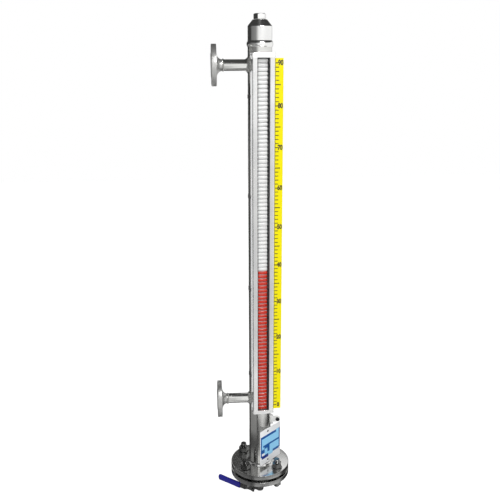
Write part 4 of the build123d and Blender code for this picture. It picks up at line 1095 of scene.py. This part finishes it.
t = np.linspace(notch_to, 2 * pi + notch_from, 61)
hub = arc(hub_radius, t)[np.cos(t) < cos(root_turn)]
split = int(np.argmax(np.diff(hub[:, 1]))) + 1
stations = np.array([*np.linspace(0.011, 0.028, 15), 0.06, 0.1, 0.11, 0.1125, 0.1138])
half = 0.007 - 0.0005 * stations / 0.114
half[-3:] -= (0.0003, 0.001, 0.0028)
edge = np.stack([stations, -half], 1)
notch = arc(notch_radius, np.linspace(notch_from, notch_to, 13)[1:-1])
outline = np.concatenate([hub[:split], edge, edge[::-1] * (1, -1), hub[split:], notch])
first, last = split, split + 2 * len(stations) - 1
walk = np.arange(len(stations) - 1)
cells = [
    np.concatenate([np.arange(first + 1), np.arange(last, len(outline))])[None],
    np.stack([first + walk, first + walk + 1, last - walk - 1, last - walk], 1),
]
lever_steel = steel("lever_steel", (0.12, 0.12), (0.22, 0.215), (0.2, 0.34), 90.0, up=8)
bar = slab(outline, on_lever, *lever_out, 0.0004, cells)
piece("lever_bar", bar, lever_steel, ("valve_lever",), "lever")
shaft = rounded(
    [(0.0, 0.0083), (0.003, 0.0083), (0.003, 0.0355), (0.0028, 0.0356), (0.0028, 0.0384),
     (0.002, 0.0386), (0.002, 0.0434), (0.0016, 0.044), (0.0, 0.044)],
    (0, 0.0003, 0.0003, 0.0001, 0.0001, 0.0001, 0.0003, 0.0002, 0), 3,
)
shaft = turned(shaft, valve_centre, stem_out, 40)
piece("stem_shaft", [shaft], cast_steel, ("valve_stem",), "lever")
nut = hexagon(0.007, lever_out[1], 0.0425, valve_centre, stem_out, 0.0021, steps=48)
piece("lever_hexagon", [nut], lever_steel, ("lever_nut",), "lever")
sleeve_from, sleeve_to = 0.04, 0.118
sleeve_half, sleeve_depth = 0.0092, 0.0042
sleeve_middle = 0.043


def sleeve_grid(steps=32, rows=26):
    """Dipped sleeve: a rounded-rectangle section, |a|^n + |b|^n = 1 with n = 3.2, whose width and
    depth follow the lever, swell towards both ends and close over its end as a dome."""
    s = np.linspace(0, 1, rows)[:, None]
    along = sleeve_from + (sleeve_to - sleeve_from) * np.sin(s * pi / 2)
    to_end = np.clip((sleeve_to - along) / 0.006, 0, 1)
    from_start = np.clip((along - sleeve_from) / 0.0012, 0, 1)
    lip = 0.9 + 0.1 * np.sqrt(from_start * (2 - from_start))
    closed = np.sqrt(to_end * (2 - to_end)) * lip
    swell = 0.965 + 0.035 * np.cos((along - sleeve_from) / (sleeve_to - sleeve_from) * 2 * pi)
    t = np.arange(steps) * 2 * pi / steps
    a, b = (np.sign(v) * np.abs(v) ** (2 / 3.2) for v in (np.cos(t), np.sin(t)))
    across, out = sleeve_half * closed * swell * a, sleeve_middle + sleeve_depth * closed * b
    start = on_valve(np.full(steps, sleeve_from), np.zeros(steps), np.full(steps, sleeve_middle))
    return strip([start, *on_valve(along + 0 * t, across, out)])


sleeve_blue = plain("sleeve_blue", (0.008, 0.008, 0.24), 0.38, 220.0, 0.35, 0.00008)
piece("grip_sleeve", [sleeve_grid()], sleeve_blue, ("lever_sleeve",), "lever", 50)

# Floor and world: a plain white floor under the valve and a white room. Both come out as plain
# white in the picture and in reflections, as the photo's background does, so no shadow shows.
floor_level = -0.42
floor_reach = 6.0
seen_lift = 0.62
room_light = 0.4
white = (1, 1, 1, 1)
corners = rectangle(-floor_reach, floor_reach, -floor_reach, floor_reach)
mesh = bpy.data.meshes.new("floor")
mesh.from_pydata([(x, y, floor_level) for x, y in corners.tolist()], [], [(0, 1, 2, 3)])
floor = added("floor", mesh)
floor_paint, floor_coat = shader("floor_white", (0.92, 0.92, 0.92), 0.8)
mesh.materials.append(floor_paint)


def seen_rays(tree):
    """Value that is 1 for camera, glossy and transmission rays and 0 for all others."""
    ray = tree.nodes.new("ShaderNodeLightPath").outputs
    value = ray["Is Camera Ray"]
    for other in ("Is Glossy Ray", "Is Transmission Ray"):
        either = node(tree, "ShaderNodeMath", {}, {0: value, 1: ray[other]})
        either.operation = "MAXIMUM"
        value = either.outputs[0]
    return value


tree = floor_paint.node_tree
lift = node(tree, "ShaderNodeMath", {1: seen_lift}, {0: seen_rays(tree)})
lift.operation = "MULTIPLY"
floor_coat.inputs["Emission Color"].default_value = white
tree.links.new(lift.outputs[0], floor_coat.inputs["Emission Strength"])
world = bpy.data.worlds.new("studio")
bpy.context.scene.world = world
world.use_nodes = True
tree = world.node_tree
sky = tree.nodes["Background"]
sky.inputs["Color"].default_value = white
sky.inputs["Strength"].default_value = room_light
bright = node(tree, "ShaderNodeBackground", {"Color": white, "Strength": 1.0}, {})
wires = {"Fac": seen_rays(tree), 1: sky.outputs[0], 2: bright.outputs[0]}
mixed = node(tree, "ShaderNodeMixShader", {}, wires)
tree.links.new(mixed.outputs[0], tree.nodes["World Output"].inputs["Surface"])

# Tent: a glowing cylinder round the gauge that only reflections see, a painted reflection and not
# cloth. Its tone goes with the direction: white in front and to the right, grey to the left, dark
# behind, and its rings are set to lay painted highlights and dark bands on the metal.
tent_radius = 0.9
tent_foot = floor_level + 0.004
tent_top = 2.2
tent_steps = 240
t = np.linspace(-180, 180, tent_steps, endpoint=False)
low = np.interp(
    t,
    [-180, -171, -169, -158, -156, -125, -114, -40, -34, -28, -22, 74, 82, 150, 156, 175, 178, 180],
    [0.05, 0.04, 1.0, 1.0, 0.04, 0.04, 0.28, 0.32, 0.06, 0.06, 1.0, 1.0, 0.05, 0.05, 0.3, 0.3, 0.06,
     0.05],
)
high = np.interp(
    t,
    [-180, -172, -169, -157, -154, -93, -86, -38, -12, 121, 150, 166, 176, 180],
    [0.05, 0.05, 1.1, 1.1, 0.04, 0.04, 0.17, 0.26, 0.97, 1.0, 0.75, 0.4, 0.06, 0.05],
)
wall = np.where((t > 60) & (t < 150), high, low)
glint = np.where((t > 152) & (t < 176), 1.2, wall)
under = np.minimum(low, np.interp(t, [-26, 0, 18, 40, 64], [0.06, 0.32, 0.7, 0.5, 0.06]))
under = np.where(t < -26, low, under)
shade = np.minimum(low, 0.05)
dark = 0.045 + 0 * t
roof = 0.16 + 0 * t


def front(tone, rest):
    """One tone in front of the gauge, between -8 and 26 degrees, and the rest elsewhere."""
    return np.where((t > -8) & (t < 26), tone, rest)


behind = np.where(np.abs(t) > 125, 0.05, front(0.7, high))
on_floor = [
    (0.002, 0.3 * low), (0.15, front(0.05, low)), (0.28, front(0.05, low)), (0.33, low),
    (0.4, low), (0.43, shade), (0.52, shade), (0.55, under), (0.66, under), (0.7, low),
    (0.74, front(0.95, low)), (0.77, front(0.95, low)), (0.8, front(0.78, low)),
    (tent_radius, front(0.8, low)),
]
on_wall = [
    (-0.32, front(0.8, low)), (-0.2, front(0.6, low)), (0.0, front(0.57, wall)),
    (0.38, front(0.66, wall)), (0.41, front(0.68, glint)), (0.55, front(0.7, glint)),
    (0.6, front(0.72, wall)), (0.74, high), (1.06, high), (1.14, front(0.7, high)),
    (1.24, behind), (1.34, dark), (tent_top, dark),
]
on_roof = [(0.5, dark), (0.25, dark), (0.15, roof), (0.002, roof)]
rings = [(radius, tent_foot, tone) for radius, tone in on_floor]
rings += [(tent_radius, level, tone) for level, tone in on_wall]
rings += [(radius, tent_top, tone) for radius, tone in on_roof]
radius, level = (np.array([ring[k] for ring in rings])[:, None] for k in (0, 1))
turn = np.radians(t)
points = [chamber_x + radius * np.sin(turn), -radius * np.cos(turn), level + 0 * t]
points, faces = strip(np.stack(points, -1))
tone = np.concatenate([ring[2] for ring in rings])
mesh = bpy.data.meshes.new("tent")
mesh.from_pydata(points.reshape(-1, 3).tolist(), [], faces.tolist())
mesh.attributes.new("tone", "FLOAT_COLOR", "POINT")
colours = np.stack([tone, tone, tone, np.ones(len(tone))], 1)
mesh.attributes["tone"].data.foreach_set("color", colours.ravel())
tent = added("tent", mesh)
# Its glow is an emission that paints reflections, not cloth lit by the lamps
cloth = bpy.data.materials.new("tent_cloth")
cloth.use_nodes = True
tree = cloth.node_tree
tree.nodes.remove(tree.nodes["Principled BSDF"])
painted = tree.nodes.new("ShaderNodeAttribute")
painted.attribute_name = "tone"
glow = node(tree, "ShaderNodeEmission", {}, {"Color": painted.outputs["Color"]})
tree.links.new(glow.outputs[0], tree.nodes["Material Output"].inputs["Surface"])
cloth.cycles.emission_sampling = "NONE"
mesh.materials.append(cloth)
for ray in ("camera", "diffuse", "shadow", "transmission"):
    setattr(tent, "visible_" + ray, False)


# Lamps: two soft ones that light the gauge from the front and are left out of reflections, and a
# small one inside the tent that only reflections see.
def lamp(name, place, aim, size, power):
    """A soft lamp of the given width and height that looks at a point."""
    light = bpy.data.lights.new(name, "AREA")
    light.energy = power
    light.shape = "RECTANGLE"
    light.size, light.size_y = size
    holder = added(name, light)
    holder.location = place
    holder.rotation_euler = (Vector(aim) - Vector(place)).to_track_quat("-Z", "Y").to_euler()
    return holder


lamp("key_lamp", (0.35, -1.5, 2.5), (0.12, 0, 0.3), (0.9, 0.9), 24).visible_glossy = False
lamp("front_lamp", (-0.1, -2.2, 0.9), (0.12, 0, 0.4), (1.0, 1.0), 24).visible_glossy = False
gloss_lamp = lamp("gloss_lamp", (0.37, -0.76, 1.38), (0.12, 0, 0.2), (0.34, 0.2), 10)
gloss_lamp.visible_diffuse = False

# Camera: the photograph looks slightly down from the left of the indicator, at a short distance.
# The lens and the shift are in pixels of the 500 pixel wide picture.
picture = 500
lens, shift = 659.83, -2.45
yaw, pitch, roll = 0.0678, 0.275, -0.0044
camera_place = (-0.0191, -1.6661, 0.9085)
camera_data = bpy.data.cameras.new("camera")
camera_data.sensor_width = 36.0
camera_data.lens = lens / picture * camera_data.sensor_width
camera_data.shift_y = shift / picture
camera_data.clip_start = 0.05
camera_data.clip_end = 50
camera = added("camera", camera_data)
forward = Vector((sin(yaw) * cos(pitch), cos(yaw) * cos(pitch), -sin(pitch)))
level_right = Vector((cos(yaw), -sin(yaw), 0))
level_up = level_right.cross(forward)
right = cos(roll) * level_right + sin(roll) * level_up
up = -sin(roll) * level_right + cos(roll) * level_up
aim = Matrix((right, up, -forward)).transposed().to_4x4()
camera.matrix_world = Matrix.Translation(camera_place) @ aim
bpy.context.scene.camera = camera
bpy.context.scene.view_settings.view_transform = "Standard"
